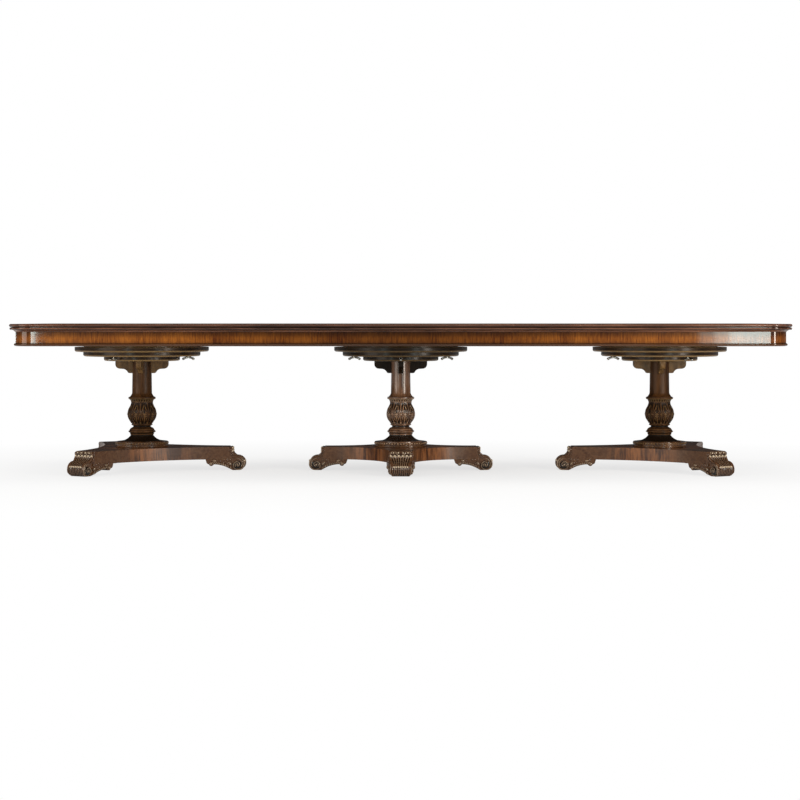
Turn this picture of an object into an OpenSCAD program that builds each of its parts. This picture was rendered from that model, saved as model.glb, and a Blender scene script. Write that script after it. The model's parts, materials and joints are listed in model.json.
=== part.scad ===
// Extending dining table on three carved pedestals, in millimetres.
// X runs along the table, Y across it and Z up; the origin is on the floor below the centre.

/* [Top] */
// Length of the closed table
table_l = 3900; // [3700:10:4300]
// Width of the top
table_w = 1200; // [1100:10:1400]
// Height of the top above the floor
table_h = 762; // [735:1:790]
// Length of the fixed middle section
centre_l = 1700; // [1600:10:1800]
// Thickness of the moulded top
top_t = 39; // [37:0.5:45]
// Radius of the quarter-round corners at the rim
corner_r = 115; // [90:1:150]
// Depth of the step beside each corner
corner_step = 10; // [6:0.5:16]
// Height of the upper bead on the edge
upper_bead = 15; // [11:0.5:17]
// Height of the lower bead on the edge
lower_bead = 13; // [9:0.5:15]
// Height of the quirk between the two beads
quirk = 2; // [1:0.5:3]
// Distance from the rim in to the apron
overhang = 26; // [24:0.5:34]
// Gap between the sections when closed
seam_gap = 0.3; // [0.2:0.1:0.6]

/* [Frame] */
// Height of the apron with its bead
apron_h = 71; // [66:1:80]
// Thickness of the apron
apron_t = 22; // [18:1:26]
// Height of the bead under the apron
apron_bead = 14; // [10:1:16]
// Projection of that bead beyond the apron
bead_out = 6; // [3:0.5:6]
// Width of a cross bearer
bearer_w = 60; // [50:1:70]
// Height of a cross bearer
bearer_h = 68; // [64:1:70]
// Gap from a seam to the bearer beside it
bearer_set = 2; // [1:0.5:4]
// Width of a sliding runner
runner_w = 40; // [30:1:44]
// Height of a sliding runner
runner_h = 44; // [36:1:48]
// Distance from the apron's inner face to the left section's runners
runner_in_left = 152; // [130:1:156]
// Distance from the apron's inner face to the right section's runners
runner_in_right = 212; // [208:1:230]
// Clearance round a runner where it slides
slide_clear = 0.5; // [0.3:0.1:0.8]
// Travel of each end section, for one loose leaf
leaf_travel = 600; // [450:10:620]

/* [Pedestal] */
// Distance from the middle to the end pedestals
pedestal_x = 1352; // [1320:1:1380]
// Radius of the upper disc
upper_disc_r = 347.5; // [335:0.5:360]
// Radius of the pad on the upper disc
pad_r = 300; // [290:1:310]
// Height of that pad
pad_t = 14; // [10:0.5:18]
// Radius of the middle disc
middle_disc_r = 303.5; // [290:0.5:315]
// Radius of the lower disc
lower_disc_r = 197; // [180:0.5:204]
// Thickness of each disc
disc_t = 24; // [20:0.5:28]
// Radius of the rounded lower edge of a disc
disc_round = 9; // [5:0.5:12]
// Reach of a bracket from the column's axis
bracket_r = 138; // [120:1:155]
// Height of a bracket
bracket_h = 65; // [58:1:75]
// Thickness of a bracket
bracket_t = 25; // [18:1:28]

/* [Column] */
// Radius of the plain shaft at its top
shaft_r = 50; // [44:0.5:54]
// Radius of the collar over the bulb
collar_r = 70.5; // [66:0.5:76]
// Radius of the carved bulb
bulb_r = 75.5; // [70:0.5:82]
// Radius of the neck over the bulb
neck_r = 56.5; // [52:0.5:60]
// Radius of the waist under the bulb
waist_r = 45; // [40:0.5:50]
// Radius of the torus over the flare
torus_r = 70.5; // [66:0.5:76]
// Radius of the flared foot of the column
flare_r = 112; // [104:0.5:118]
// Radius of the tenons at the column's ends
tenon_r = 26; // [20:0.5:32]
// Clearance round a tenon
tenon_clear = 0.1; // [0.05:0.05:0.2]

/* [Base] */
// Radius of the plinth disc under the column
plinth_r = 138; // [130:0.5:146]
// Thickness of the plinth disc
plinth_t = 26; // [22:0.5:30]
// Thickness of the platform
platform_t = 64; // [56:1:72]
// Height of the platform above the floor
platform_z = 58; // [54:1:64]
// Distance to the end of a platform arm, four-armed base
quad_arm = 396; // [380:1:410]
// Distance to the end of a platform arm, three-armed base
tri_arm = 459; // [440:1:475]
// Half width of a platform arm at its end
arm_half = 60; // [56:0.5:66]
// Radius of the hollow sides, four-armed base
quad_hollow = 310; // [290:1:330]
// Distance to the middle of a hollow side, three-armed base
tri_waist = 205; // [190:1:215]

/* [Feet] */
// Distance from the arm's end out to the eye of the volute
eye_out = 44; // [40:0.5:50]
// Radius of the scroll where it meets the floor
scroll_r = 28.5; // [27:0.5:30]
// Growth of the scroll's radius in a quarter turn
scroll_grow = 9; // [8:0.25:9.5]
// Width of the raised strap of the volute
strap_w = 6; // [4:0.5:7]
// Height of that strap over the side of the foot
strap_out = 4; // [2:0.5:5]
// Half width of the foot at the scroll
scroll_half = 50; // [46:0.5:54]
// Number of reeds across the front of the foot
reed_count = 7; // [5:1:9]
// Depth of the grooves between the reeds
reed_depth = 3; // [2:0.5:4]
// Width of the grooves between the reeds
reed_gap = 4; // [3:0.5:5]

/* [Wing screws] */
// Distance from the column's axis to a wing screw
screw_ring = 242; // [236:1:250]
// Radius of a wing screw's shank
shank_r = 5; // [4:0.5:6]
// Running clearance of a shank in the upper disc
shank_fit = 0.05; // [0.02:0.01:0.08]
// Clearance of a shank in the middle disc
shank_clear = 0.5; // [0.3:0.1:1]
// Length of a shank above the middle disc
shank_grip = 15; // [12:1:18]
// Radius of a wing screw's hub
hub_r = 9; // [8:0.5:11]
// Height of that hub
hub_h = 11; // [9:0.5:13]
// Span of the two wings
wing_span = 58; // [50:1:64]
// Height of a wing screw below the disc
wing_drop = 22; // [20:0.5:26]
// Thickness of a wing
wing_t = 4; // [3:0.5:5]

/* [Hidden] */
$fn = 96;
arc_steps = 7;
cut = 1;

// Colours of the finishes
mahogany = "#5e2417";
crossband = "#8a4a22";
flame = "#7d452b";
carved = "#5b3e2e";
secondary = "#a07850";
steel = "#a9a7a2";

// Levels from the top down
under_top = table_h - top_t;
apron_z = under_top - apron_h;
bearer_z = under_top - bearer_h;
upper_z = bearer_z - pad_t - disc_t;
middle_z = upper_z - disc_t;
lower_z = middle_z - disc_t;
platform_top = platform_z + platform_t;
column_z = platform_top + plinth_t;
column_h = lower_z - column_z;

// Places along the table
half_l = table_l / 2;
half_w = table_w / 2;
seam_x = centre_l / 2;
apron_y = half_w - overhang;
corner_x = half_l - corner_step - corner_r;
corner_y = half_w - corner_step - corner_r;
corner_stub = 30;

// Edge moulding: how far each member stands in from the rim
lower_in = 1.5;
fillet_in = 9;
cavetto_z = top_t - upper_bead - quirk - lower_bead;
cavetto_r = 18;
cavetto_in = 8;
cavetto_drop = cavetto_r - 10;

// Sections: 0 is the middle, -1 the left end and 1 the right end
seam_bearer = bearer_w / 2 + bearer_set;
centre_bearers = 6;
bearer_pitch = 2 * (seam_x - seam_bearer) / (centre_bearers - 1);
bearer_off = bearer_pitch / 2;
runner_gap = 3;
runner_start = bearer_off - bearer_w / 2 - runner_gap;
runner_end = pedestal_x + bearer_off + bearer_w / 2;
runner_y_left = apron_y - apron_t - runner_in_left;
runner_y_right = apron_y - apron_t - runner_in_right;
runner_play = 2;
runner_z = under_top - runner_play - runner_h;

// Directions of the arms of each base and of the wing screws over them
quad_angles = [0, 90, 180, 270];
tri_angles = [0, 120, 240];

// Members of the column: heights, stacked up from the plinth
step = 1.5;
groove = 5;
flare_edge = 3;
flare_h = 31;
bead_h = 7;
torus_h = 9;
ovolo_h = 14.5;
waist_h = 9;
lip_h = 7;
belly_h = 47;
bulb_h = 85;
shoulder_in = 11.5;
shoulder_h = 23;
neck_h = 18;
collar_h = 8;
slope_h = 21;
flare_top = flare_edge + flare_h;
bead_low = flare_top + step;
torus_low = bead_low + bead_h + groove;
ovolo_low = torus_low + torus_h + step;
waist_low = ovolo_low + ovolo_h + step;
lip_low = waist_low + waist_h + step;
bulb_low = lip_low + lip_h + groove;
bulb_top = bulb_low + bulb_h;
neck_low = bulb_top + shoulder_h;
collar_low = neck_low + neck_h;
collar_top = collar_low + collar_h;
shaft_low = collar_top + slope_h;

// Rises of the arcs of those members
flare_rise = 7;
bead_rise = 2;
bead_set = 10;
torus_rise = 4;
ovolo_rise = 2.6;
hollow_rise = 5;
lip_rise = 3.5;
belly_rise = 5.6;
bulb_rise = 2.6;
neck_rise = 2.2;

// Members of the plinth
plinth_bead = 8;
plinth_rim = 6;

// Scroll foot: places beside the volute
leaf_top = platform_top - 5;
leaf_out = 18;
ankle_out = 16;
ankle_z = platform_z + 42;
flat_in = 26;
flat_out = 8;
leaf_edge = 8;
curl = 13;
pendant_in = 92;
pendant_z = 32;
heel = 14;
foot_in = 119;
tuck_half = 40;
tuck_z = 26;

// Points of an arc from p to q, q left out, that stands b to the right of the chord
function bow(p, q, b, n = arc_steps) =
  let (d = [q.x - p.x, q.y - p.y], len = norm(d), along = d / len)
  let (side = [along.y, -along.x], s = abs(b), middle = [p.x + q.x, p.y + q.y] / 2)
  let (r = (len * len / 4 + s * s) / (2 * max(s, 0.001)), half = 2 * atan(2 * s / len))
  s < 0.01 ? [[p.x, p.y]] :
  [for (i = [0 : n - 1]) let (a = half * (2 * i / n - 1))
    middle + along * r * sin(a) + side * sign(b) * (r * cos(a) - r + s)];

// Closed outline through corners [x, y, rise of the arc to the next corner]
function outline(c) = [for (i = [0 : len(c) - 1]) each bow(c[i], c[(i + 1) % len(c)], c[i][2])];

// Rise of a quarter circle of radius r over its chord
function quarter(r) = r * (1 - cos(45));

// Radius of the foot's scroll at angle a, where -90 is down and 0 is outwards
function scroll_at(a) = scroll_r + scroll_grow * (a + 90) / 90;
function scroll_point(a, less = 0) =
  [eye_out, scroll_r] + (scroll_at(a) - less) * [cos(a), sin(a)];

// Where the scroll's rim turns up into the ankle
function scroll_back(less = 0) = [eye_out - 8, scroll_r + scroll_at(95) - less];

// Lengthways extrusion between x0 and x1 of a section drawn as Y and Z
module along_x(x0, x1) {
  translate([x0, 0, 0]) rotate([90, 0, 90]) linear_extrude(x1 - x0) children();
}

// Crosswise extrusion between y0 and y1 of a section drawn as X and Z
module along_y(y0, y1) {
  translate([0, y1, 0]) rotate([90, 0, 0]) linear_extrude(y1 - y0) children();
}

// Section of the edge moulding, rim at rim_x and wood from from_x outwards
module edge_section(from_x, rim_x) {
  difference() {
    union() {
      translate([from_x, 0]) square([rim_x - fillet_in - from_x, top_t]);
      translate([from_x, cavetto_z]) square([rim_x - lower_in - lower_bead / 2 - from_x, lower_bead]);
      translate([from_x, top_t - upper_bead]) square([rim_x - upper_bead / 2 - from_x, upper_bead]);
      translate([rim_x - upper_bead / 2, top_t - upper_bead / 2]) circle(upper_bead / 2);
      translate([rim_x - lower_in - lower_bead / 2, cavetto_z + lower_bead / 2]) circle(lower_bead / 2);
    }
    translate([rim_x - cavetto_in, -cavetto_drop]) circle(cavetto_r);
  }
}

// Section of the apron, face at face_x and wood from from_x outwards
module apron_section(from_x, face_x) {
  translate([from_x, 0]) square([face_x - from_x, apron_h]);
  intersection() {
    translate([face_x + bead_out - apron_bead / 2, apron_bead / 2]) circle(apron_bead / 2);
    translate([from_x, 0]) square([face_x + bead_out + cut - from_x, apron_bead]);
  }
}

// Section mirrored to both sides of the middle
module both_sides() {
  children();
  mirror([1, 0]) children();
}

module top_middle() {
  color(mahogany) translate([0, 0, under_top])
    along_x(-seam_x + seam_gap / 2, seam_x - seam_gap / 2) both_sides() edge_section(0, half_w);
}

// End of the top, drawn at +X, with stepped corners that the moulding follows
module top_end(side) {
  x0 = seam_x + seam_gap / 2;
  color(mahogany) translate([0, 0, under_top]) mirror([side < 0 ? 1 : 0, 0, 0]) {
    intersection() {
      along_x(x0, corner_x) both_sides() edge_section(0, half_w);
      along_y(-half_w, half_w) edge_section(x0, corner_x);
    }
    along_x(x0, corner_x) both_sides() edge_section(0, half_w - corner_step);
    intersection() {
      along_x(corner_x - cut, half_l) both_sides() edge_section(0, corner_y);
      along_y(-half_w, half_w) edge_section(x0, half_l);
    }
    along_y(-corner_y, corner_y) edge_section(x0, half_l - corner_step);
    for (s = [-1, 1]) translate([corner_x, s * corner_y, 0]) rotate(s < 0 ? -90 : 0)
      rotate_extrude(angle = 90) edge_section(0, corner_r);
  }
}

module apron_middle(side) {
  color(crossband) translate([0, 0, apron_z]) mirror([0, side < 0 ? 1 : 0, 0])
    along_x(-seam_x + seam_gap / 2, seam_x - seam_gap / 2) apron_section(apron_y - apron_t, apron_y);
}

// Long apron of an end section with its quarter-round corner, drawn at +X and +Y
module apron_side(side, face) {
  x0 = seam_x + seam_gap / 2;
  color(crossband) translate([0, 0, apron_z])
    mirror([side < 0 ? 1 : 0, 0, 0]) mirror([0, face < 0 ? 1 : 0, 0]) {
      intersection() {
        along_x(x0, corner_x) apron_section(apron_y - apron_t, apron_y);
        along_y(0, half_w) apron_section(x0 - cut, corner_x - overhang);
      }
      along_x(corner_x - overhang - corner_stub, corner_x)
        apron_section(apron_y - corner_step - apron_t, apron_y - corner_step);
      translate([corner_x, corner_y, 0]) rotate_extrude(angle = 90)
        apron_section(corner_r - overhang - apron_t, corner_r - overhang);
    }
}

// End apron between the two corners, drawn at +X
module apron_end(side) {
  face_x = half_l - overhang;
  color(crossband) translate([0, 0, apron_z]) mirror([side < 0 ? 1 : 0, 0, 0]) {
    intersection() {
      along_y(-half_w, half_w) apron_section(face_x - apron_t, face_x);
      along_x(0, half_l) both_sides() apron_section(-cut, corner_y - overhang);
    }
    along_y(-corner_y, corner_y) apron_section(face_x - corner_step - apron_t, face_x - corner_step);
  }
}

// One cross bearer at x, notched for a pair of runners at a distance y from the middle
module bearer(x, y, clear) {
  len_y = 2 * (apron_y - apron_t);
  difference() {
    translate([x - bearer_w / 2, -len_y / 2, bearer_z]) cube([bearer_w, len_y, bearer_h]);
    for (s = [-1, 1]) translate([x - bearer_w, s * y - runner_w / 2 - clear, runner_z - clear])
      cube([2 * bearer_w, runner_w + 2 * clear, top_t + runner_h]);
  }
}

module bearers_middle() {
  color(secondary) for (i = [0 : centre_bearers - 1]) {
    x = -seam_x + seam_bearer + i * bearer_pitch;
    bearer(x, x < 0 ? runner_y_left : runner_y_right, slide_clear);
  }
}

module bearers_end(side) {
  y = side < 0 ? runner_y_left : runner_y_right;
  color(secondary) for (x = [seam_x + seam_bearer, pedestal_x - bearer_off, pedestal_x + bearer_off])
    bearer(side * x, y, 0);
}

module runner(side, face) {
  y = side < 0 ? runner_y_left : runner_y_right;
  color(secondary) mirror([side < 0 ? 1 : 0, 0, 0])
    translate([-runner_start, face * y - runner_w / 2, runner_z])
      cube([runner_start + runner_end, runner_w, runner_h]);
}

// Moves its children to the pedestal of a section, turned so that its first arm points inwards
module at_pedestal(side) {
  translate([side * pedestal_x, 0, 0]) rotate(side > 0 ? 180 : 0) children();
}

function angles(side) = side == 0 ? quad_angles : tri_angles;

// Places for the wing screws of one pedestal
module at_screws(side) {
  for (a = angles(side)) rotate(a) translate([screw_ring, 0, 0]) children();
}

// Turned disc of radius r and thickness t with a rounded lower edge
module turned_disc(r, t) {
  rotate_extrude() polygon(outline([[0, 0, 0], [r - disc_round, 0, quarter(disc_round)],
    [r, disc_round, 0], [r, t, 0], [0, t, 0]]));
}

module upper_disc(side) {
  color(carved) at_pedestal(side) difference() {
    union() {
      translate([0, 0, upper_z]) turned_disc(upper_disc_r, disc_t);
      translate([0, 0, upper_z + disc_t]) cylinder(r = pad_r, h = pad_t);
    }
    at_screws(side) translate([0, 0, upper_z - cut])
      cylinder(r = shank_r + shank_fit, h = shank_grip + 2 * cut);
  }
}

module middle_disc(side) {
  color(carved) at_pedestal(side) difference() {
    translate([0, 0, middle_z]) turned_disc(middle_disc_r, disc_t);
    at_screws(side) translate([0, 0, middle_z - cut])
      cylinder(r = shank_r + shank_clear, h = disc_t + 2 * cut);
  }
}

module lower_disc(side) {
  color(carved) at_pedestal(side) difference() {
    translate([0, 0, lower_z]) turned_disc(lower_disc_r, disc_t);
    translate([0, 0, lower_z - cut]) cylinder(r = tenon_r + tenon_clear, h = disc_t + 2 * cut);
  }
}

// Four wing brackets with an ovolo and a cavetto, planted on the shaft under the lower disc
module brackets(side) {
  lip = 18;
  ovolo = 24;
  cavetto = 18;
  toe = 22;
  toe_edge = 3;
  toe_r = shaft_r + toe;
  cove_r = bracket_r - ovolo - cavetto;
  color(carved) at_pedestal(side) difference() {
    for (a = quad_angles) rotate(a) translate([0, bracket_t / 2, lower_z]) rotate([90, 0, 0])
      linear_extrude(bracket_t) polygon(outline([
        [0, -bracket_h, 0], [toe_r - 2 * toe_edge, -bracket_h, 0],
        [toe_r, toe_edge - bracket_h, -4],
        [cove_r, -lip - ovolo - 1, 0], [bracket_r - ovolo, -lip - ovolo, quarter(ovolo)],
        [bracket_r, -lip, 0], [bracket_r, 0, 0], [0, 0, 0]]));
    translate([0, 0, lower_z - bracket_h - cut]) cylinder(r = shaft_r, h = bracket_h + 2 * cut);
  }
}

// Outline of the turned column as radius and height, from its foot to the top of the shaft
function column_side() =
  let (bead_in = torus_r - bead_set, torus_in = torus_r - torus_rise)
  let (hollow_r = waist_r + hollow_rise, lip_in = hollow_r + step, shoulder_r = bulb_r - shoulder_in)
  outline([
    [0, 0, 0], [flare_r, 0, 0], [flare_r, flare_edge, 0],
    [flare_r - step, flare_edge, -flare_rise], [bead_in - 2 * step, flare_top, 0],
    [bead_in, bead_low, bead_rise], [bead_in, bead_low + bead_h, 0],
    [bead_in + step, torus_low - 2 * step, 0],
    [torus_in, torus_low, torus_rise], [torus_in, torus_low + torus_h, 0],
    [torus_in - step, ovolo_low, ovolo_rise], [hollow_r + step, ovolo_low + ovolo_h, 0],
    [hollow_r, waist_low, -hollow_rise], [hollow_r, waist_low + waist_h, 0],
    [lip_in, lip_low, lip_rise], [lip_in, lip_low + lip_h, 0],
    [lip_in + 2 * step, bulb_low, belly_rise], [bulb_r, bulb_low + belly_h, bulb_rise],
    [shoulder_r, bulb_top, -1], [neck_r, neck_low, -neck_rise],
    [collar_r - collar_h / 2, collar_low, 0], [collar_r, collar_low + collar_h / 2, 0],
    [collar_r, collar_top, 0], [collar_r - collar_h, collar_top + 2 * step, -1],
    [shaft_r + step, shaft_low, 0], [shaft_r, column_h - bracket_h, 0],
    [shaft_r, column_h, 0], [0, column_h, 0]]);

// Turned column from the beaded ring up to the shaft, with a tenon at each end
module column(side) {
  color(carved) at_pedestal(side) {
    translate([0, 0, column_z]) rotate_extrude() polygon(column_side());
    translate([0, 0, lower_z - cut]) cylinder(r = tenon_r, h = disc_t + cut);
    translate([0, 0, platform_top - platform_t / 2])
      cylinder(r = tenon_r, h = platform_t / 2 + plinth_t + cut);
  }
}

// Round plinth: a rim for the pearls over two beads
module plinth(side) {
  bead_in = plinth_r - plinth_bead / 2;
  rim_low = plinth_t - plinth_rim;
  color(carved) at_pedestal(side) difference() {
    translate([0, 0, platform_top]) rotate_extrude() polygon(outline([
      [0, 0, 0], [bead_in, 0, plinth_bead / 2], [bead_in, plinth_bead, 0],
      [bead_in - step, plinth_bead, 0], [bead_in - step, rim_low - step - plinth_bead, 0],
      [bead_in, rim_low - step - plinth_bead, plinth_bead / 2], [bead_in, rim_low - step, 0],
      [bead_in - step, rim_low - step, 0], [bead_in - step, rim_low, 0],
      [bead_in + step, rim_low, step], [bead_in + step, plinth_t, 0], [0, plinth_t, 0]]));
    translate([0, 0, platform_top - cut]) cylinder(r = tenon_r + tenon_clear, h = plinth_t + 2 * cut);
  }
}

// Plan of the four-armed platform, hollow between the arms
module quad_plan() {
  corner = [quad_arm, arm_half];
  total = quad_arm + arm_half;
  c = (total + sqrt(total * total - 2 * (corner * corner - quad_hollow * quad_hollow))) / 2;
  difference() {
    square(2 * quad_arm, center = true);
    for (a = quad_angles) rotate(a) translate([c, c]) circle(quad_hollow, $fn = 180);
  }
}

// Plan of the three-armed platform, with shallower hollows
module tri_plan() {
  corner = [tri_arm, arm_half];
  way = [cos(60), sin(60)];
  reach = corner * way;
  off = corner * corner - 2 * reach * tri_waist + tri_waist * tri_waist;
  hollow_r = off / (2 * (reach - tri_waist));
  difference() {
    rotate(180) circle(2 * tri_arm, $fn = 3);
    for (a = tri_angles) rotate(a + 60) translate([tri_waist + hollow_r, 0])
      circle(hollow_r, $fn = 180);
  }
}

module plan(side) {
  if (side == 0) quad_plan();
  else tri_plan();
}

module platform(side) {
  color(flame) at_pedestal(side) difference() {
    translate([0, 0, platform_z]) linear_extrude(platform_t) plan(side);
    translate([0, 0, platform_top - platform_t / 2 - cut])
      cylinder(r = tenon_r + tenon_clear, h = platform_t / 2 + 2 * cut);
  }
}

// Side outline of a scroll foot, measured out from the arm's end and up from the floor
function foot_side() = concat(
  [[-foot_in, platform_z], [4 - foot_in, platform_z - heel]],
  bow([-pendant_in - 10, pendant_z + 1], [curl - pendant_in, pendant_z], 9),
  bow([curl - pendant_in, pendant_z], [eye_out - flat_in, 0], -8),
  [[eye_out - flat_in, 0], [eye_out + flat_out, 0]],
  [for (a = [-60 : 15 : 90]) scroll_point(a)],
  bow(scroll_back(), [ankle_out, ankle_z], -3),
  bow([ankle_out, ankle_z], [leaf_out, ankle_z + leaf_edge], -1),
  bow([leaf_out, ankle_z + leaf_edge], [0, leaf_top], leaf_edge),
  [[0, leaf_top], [0, platform_z]]
);

// Strap that winds inwards from the scroll's rim to its eye
function strap_outline() = concat(
  [for (a = [-290 : 15 : 70]) scroll_point(a)],
  [for (a = [70 : -15 : -290]) scroll_point(a, strap_w)]
);

// Side outline of the grooves between the reeds, from under the toe up to the leaf
function groove_side() = concat(
  [for (a = [-75 : 15 : 90]) scroll_point(a, reed_depth)],
  bow(scroll_back(reed_depth), [ankle_out - reed_depth, ankle_z], -3),
  [[ankle_out - reed_depth, ankle_z + leaf_edge - step],
    [ankle_out + scroll_r, ankle_z + leaf_edge - step]],
  [for (a = [60 : -15 : -75]) scroll_point(a, -scroll_grow)]
);

// Upright slab of thickness t round the middle of an arm, drawn as distance out and height
module arm_slab(arm, t) {
  translate([arm, t / 2, 0]) rotate([90, 0, 0]) linear_extrude(t) children();
}

// Wedges that taper both sides of the scroll towards the floor
module foot_tuck(arm) {
  edge = scroll_half + strap_out;
  slope = (edge - tuck_half) / tuck_z;
  for (s = [0, 1]) mirror([0, s, 0]) translate([arm + arm_half / 6, 0, 0]) rotate([90, 0, 90])
    linear_extrude(arm / 2)
      polygon([[tuck_half - slope * cut, -cut], [2 * edge, -cut], [2 * edge, tuck_z], [edge, tuck_z]]);
}

// Plan of a foot: the platform's own hollow sides, then a narrower scroll
module foot_plan(side, arm, half) {
  intersection() {
    plan(side);
    translate([0, -arm_half * 2]) square([arm, arm_half * 4]);
  }
  translate([arm - cut, -arm_half]) square([arm_half / 6 + cut, 2 * arm_half]);
  translate([arm, -half]) square([arm / 2, 2 * half]);
}

module foot(side, angle) {
  arm = side == 0 ? quad_arm : tri_arm;
  pitch = 2 * scroll_half / reed_count;
  color(carved) at_pedestal(side) rotate(angle) difference() {
    union() {
      intersection() {
        arm_slab(arm, arm_half * 4) polygon(foot_side());
        linear_extrude(platform_top) foot_plan(side, arm, scroll_half);
      }
      intersection() {
        linear_extrude(platform_top) foot_plan(side, arm, scroll_half + strap_out);
        for (s = [-1, 1]) translate([0, s * (scroll_half + strap_out / 2 - cut), 0]) {
          arm_slab(arm, strap_out + 2 * cut) polygon(strap_outline());
          arm_slab(arm, strap_out + 2 * cut) translate([eye_out, scroll_r]) circle(strap_w);
        }
      }
    }
    for (i = [1 : reed_count - 1]) translate([0, (i - reed_count / 2) * pitch, 0])
      arm_slab(arm, reed_gap) polygon(groove_side());
    foot_tuck(arm);
  }
}

// Steel screw with two wings that droop from its hub
module wing_screw(side, angle) {
  lobe = 6;
  wing_top = 2;
  hub_z = middle_z - hub_h;
  color(steel) at_pedestal(side) rotate(angle) translate([screw_ring, 0, 0]) {
    translate([0, 0, hub_z]) cylinder(r = hub_r, h = hub_h);
    translate([0, 0, middle_z - cut]) cylinder(r = shank_r, h = disc_t + shank_grip + cut);
    for (s = [0, 1]) mirror([s, 0, 0])
      translate([0, wing_t / 2, middle_z]) rotate([90, 0, 0]) linear_extrude(wing_t)
        polygon(outline([[0, -hub_h + 1, 0], [wing_span / 2 - 2 * lobe, -wing_drop, lobe],
          [wing_span / 2 - 1, -wing_drop + lobe, 0], [hub_r, -wing_top, 0], [0, -wing_top, 0]]));
  }
}

top_middle();  // top_centre
top_end(-1);  // top_left
top_end(1);  // top_right
apron_middle(-1);  // apron_centre_front
apron_middle(1);  // apron_centre_back
apron_side(-1, -1);  // apron_left_front
apron_side(-1, 1);  // apron_left_back
apron_end(-1);  // apron_left_end
apron_side(1, -1);  // apron_right_front
apron_side(1, 1);  // apron_right_back
apron_end(1);  // apron_right_end
bearers_middle();  // bearers_centre
bearers_end(-1);  // bearers_left
bearers_end(1);  // bearers_right
runner(-1, -1);  // runner_left_front
runner(-1, 1);  // runner_left_back
runner(1, -1);  // runner_right_front
runner(1, 1);  // runner_right_back
upper_disc(0);  // upper_disc_centre
upper_disc(-1);  // upper_disc_left
upper_disc(1);  // upper_disc_right
middle_disc(0);  // middle_disc_centre
middle_disc(-1);  // middle_disc_left
middle_disc(1);  // middle_disc_right
lower_disc(0);  // lower_disc_centre
lower_disc(-1);  // lower_disc_left
lower_disc(1);  // lower_disc_right
brackets(0);  // brackets_centre
brackets(-1);  // brackets_left
brackets(1);  // brackets_right
column(0);  // column_centre
column(-1);  // column_left
column(1);  // column_right
plinth(0);  // plinth_centre
plinth(-1);  // plinth_left
plinth(1);  // plinth_right
platform(0);  // platform_centre
platform(-1);  // platform_left
platform(1);  // platform_right
foot(0, 0);  // foot_centre_right
foot(0, 90);  // foot_centre_back
foot(0, 180);  // foot_centre_left
foot(0, 270);  // foot_centre_front
foot(-1, 0);  // foot_left_inner
foot(-1, 120);  // foot_left_back
foot(-1, 240);  // foot_left_front
foot(1, 0);  // foot_right_inner
foot(1, 120);  // foot_right_front
foot(1, 240);  // foot_right_back
wing_screw(0, 0);  // wing_screw_centre_right
wing_screw(0, 90);  // wing_screw_centre_back
wing_screw(0, 180);  // wing_screw_centre_left
wing_screw(0, 270);  // wing_screw_centre_front
wing_screw(-1, 0);  // wing_screw_left_inner
wing_screw(-1, 120);  // wing_screw_left_back
wing_screw(-1, 240);  // wing_screw_left_front
wing_screw(1, 0);  // wing_screw_right_inner
wing_screw(1, 120);  // wing_screw_right_front
wing_screw(1, 240);  // wing_screw_right_back
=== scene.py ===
"""Long extending dining table on three carved pedestals, dressed for a studio picture."""
import json
import math
import bpy
from mathutils import Matrix, Vector


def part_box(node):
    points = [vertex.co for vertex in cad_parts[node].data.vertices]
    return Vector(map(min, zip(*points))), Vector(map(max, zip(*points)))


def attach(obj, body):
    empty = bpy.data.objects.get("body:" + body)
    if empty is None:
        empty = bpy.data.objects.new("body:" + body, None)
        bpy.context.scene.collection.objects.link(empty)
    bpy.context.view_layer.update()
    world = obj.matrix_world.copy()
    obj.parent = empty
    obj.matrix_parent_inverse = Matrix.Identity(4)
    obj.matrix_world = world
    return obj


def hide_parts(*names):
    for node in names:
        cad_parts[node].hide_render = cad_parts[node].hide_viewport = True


bl_info = {
    "name": "Extending Pedestal Table",
    "version": (1, 0, 0),
    "blender": (4, 5, 0),
    "location": "View3D > Sidebar > Table",
    "description": "Models the carved pieces of a pedestal dining table and finishes its wood and steel",
    "category": "Object",
}

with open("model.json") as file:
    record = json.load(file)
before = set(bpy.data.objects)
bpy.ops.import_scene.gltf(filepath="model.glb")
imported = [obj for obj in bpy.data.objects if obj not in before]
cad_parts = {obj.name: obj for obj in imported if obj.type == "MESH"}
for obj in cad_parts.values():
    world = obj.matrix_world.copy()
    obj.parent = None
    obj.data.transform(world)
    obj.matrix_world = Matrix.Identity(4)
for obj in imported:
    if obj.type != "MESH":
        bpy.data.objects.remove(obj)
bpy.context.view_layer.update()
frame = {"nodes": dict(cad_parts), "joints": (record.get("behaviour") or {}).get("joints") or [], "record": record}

MM = 0.001
IMAGE_SIDE = 800
BLACK = (0, 0, 0, 1)
WHITE = (1, 1, 1, 1)


# Places read from the frame

def centre_of(node):
    """Middle of a node's box."""
    low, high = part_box(node)
    return (low + high) / 2


class Base:
    """One pedestal: its axis, the reach and plan of its arms, and the names of its feet and wing screws."""

    def __init__(self, name, turn, ends, hollow):
        self.name = name
        self.body = "centre_section" if name == "centre" else name + "_end"
        self.axis = centre_of("column_" + name)
        low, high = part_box("platform_" + name)
        self.arm = self.axis.x - low.x if turn else high.x - self.axis.x
        self.turn = turn
        self.ends = ends
        self.hollow = hollow

    def place(self, index):
        """Matrix that puts a piece, drawn on an arm along +X from the axis, on the arm of that index."""
        angle = self.turn + math.tau * index / len(self.ends)
        return Matrix.Translation((self.axis.x, self.axis.y, 0)) @ Matrix.Rotation(angle, 4, "Z")


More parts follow.
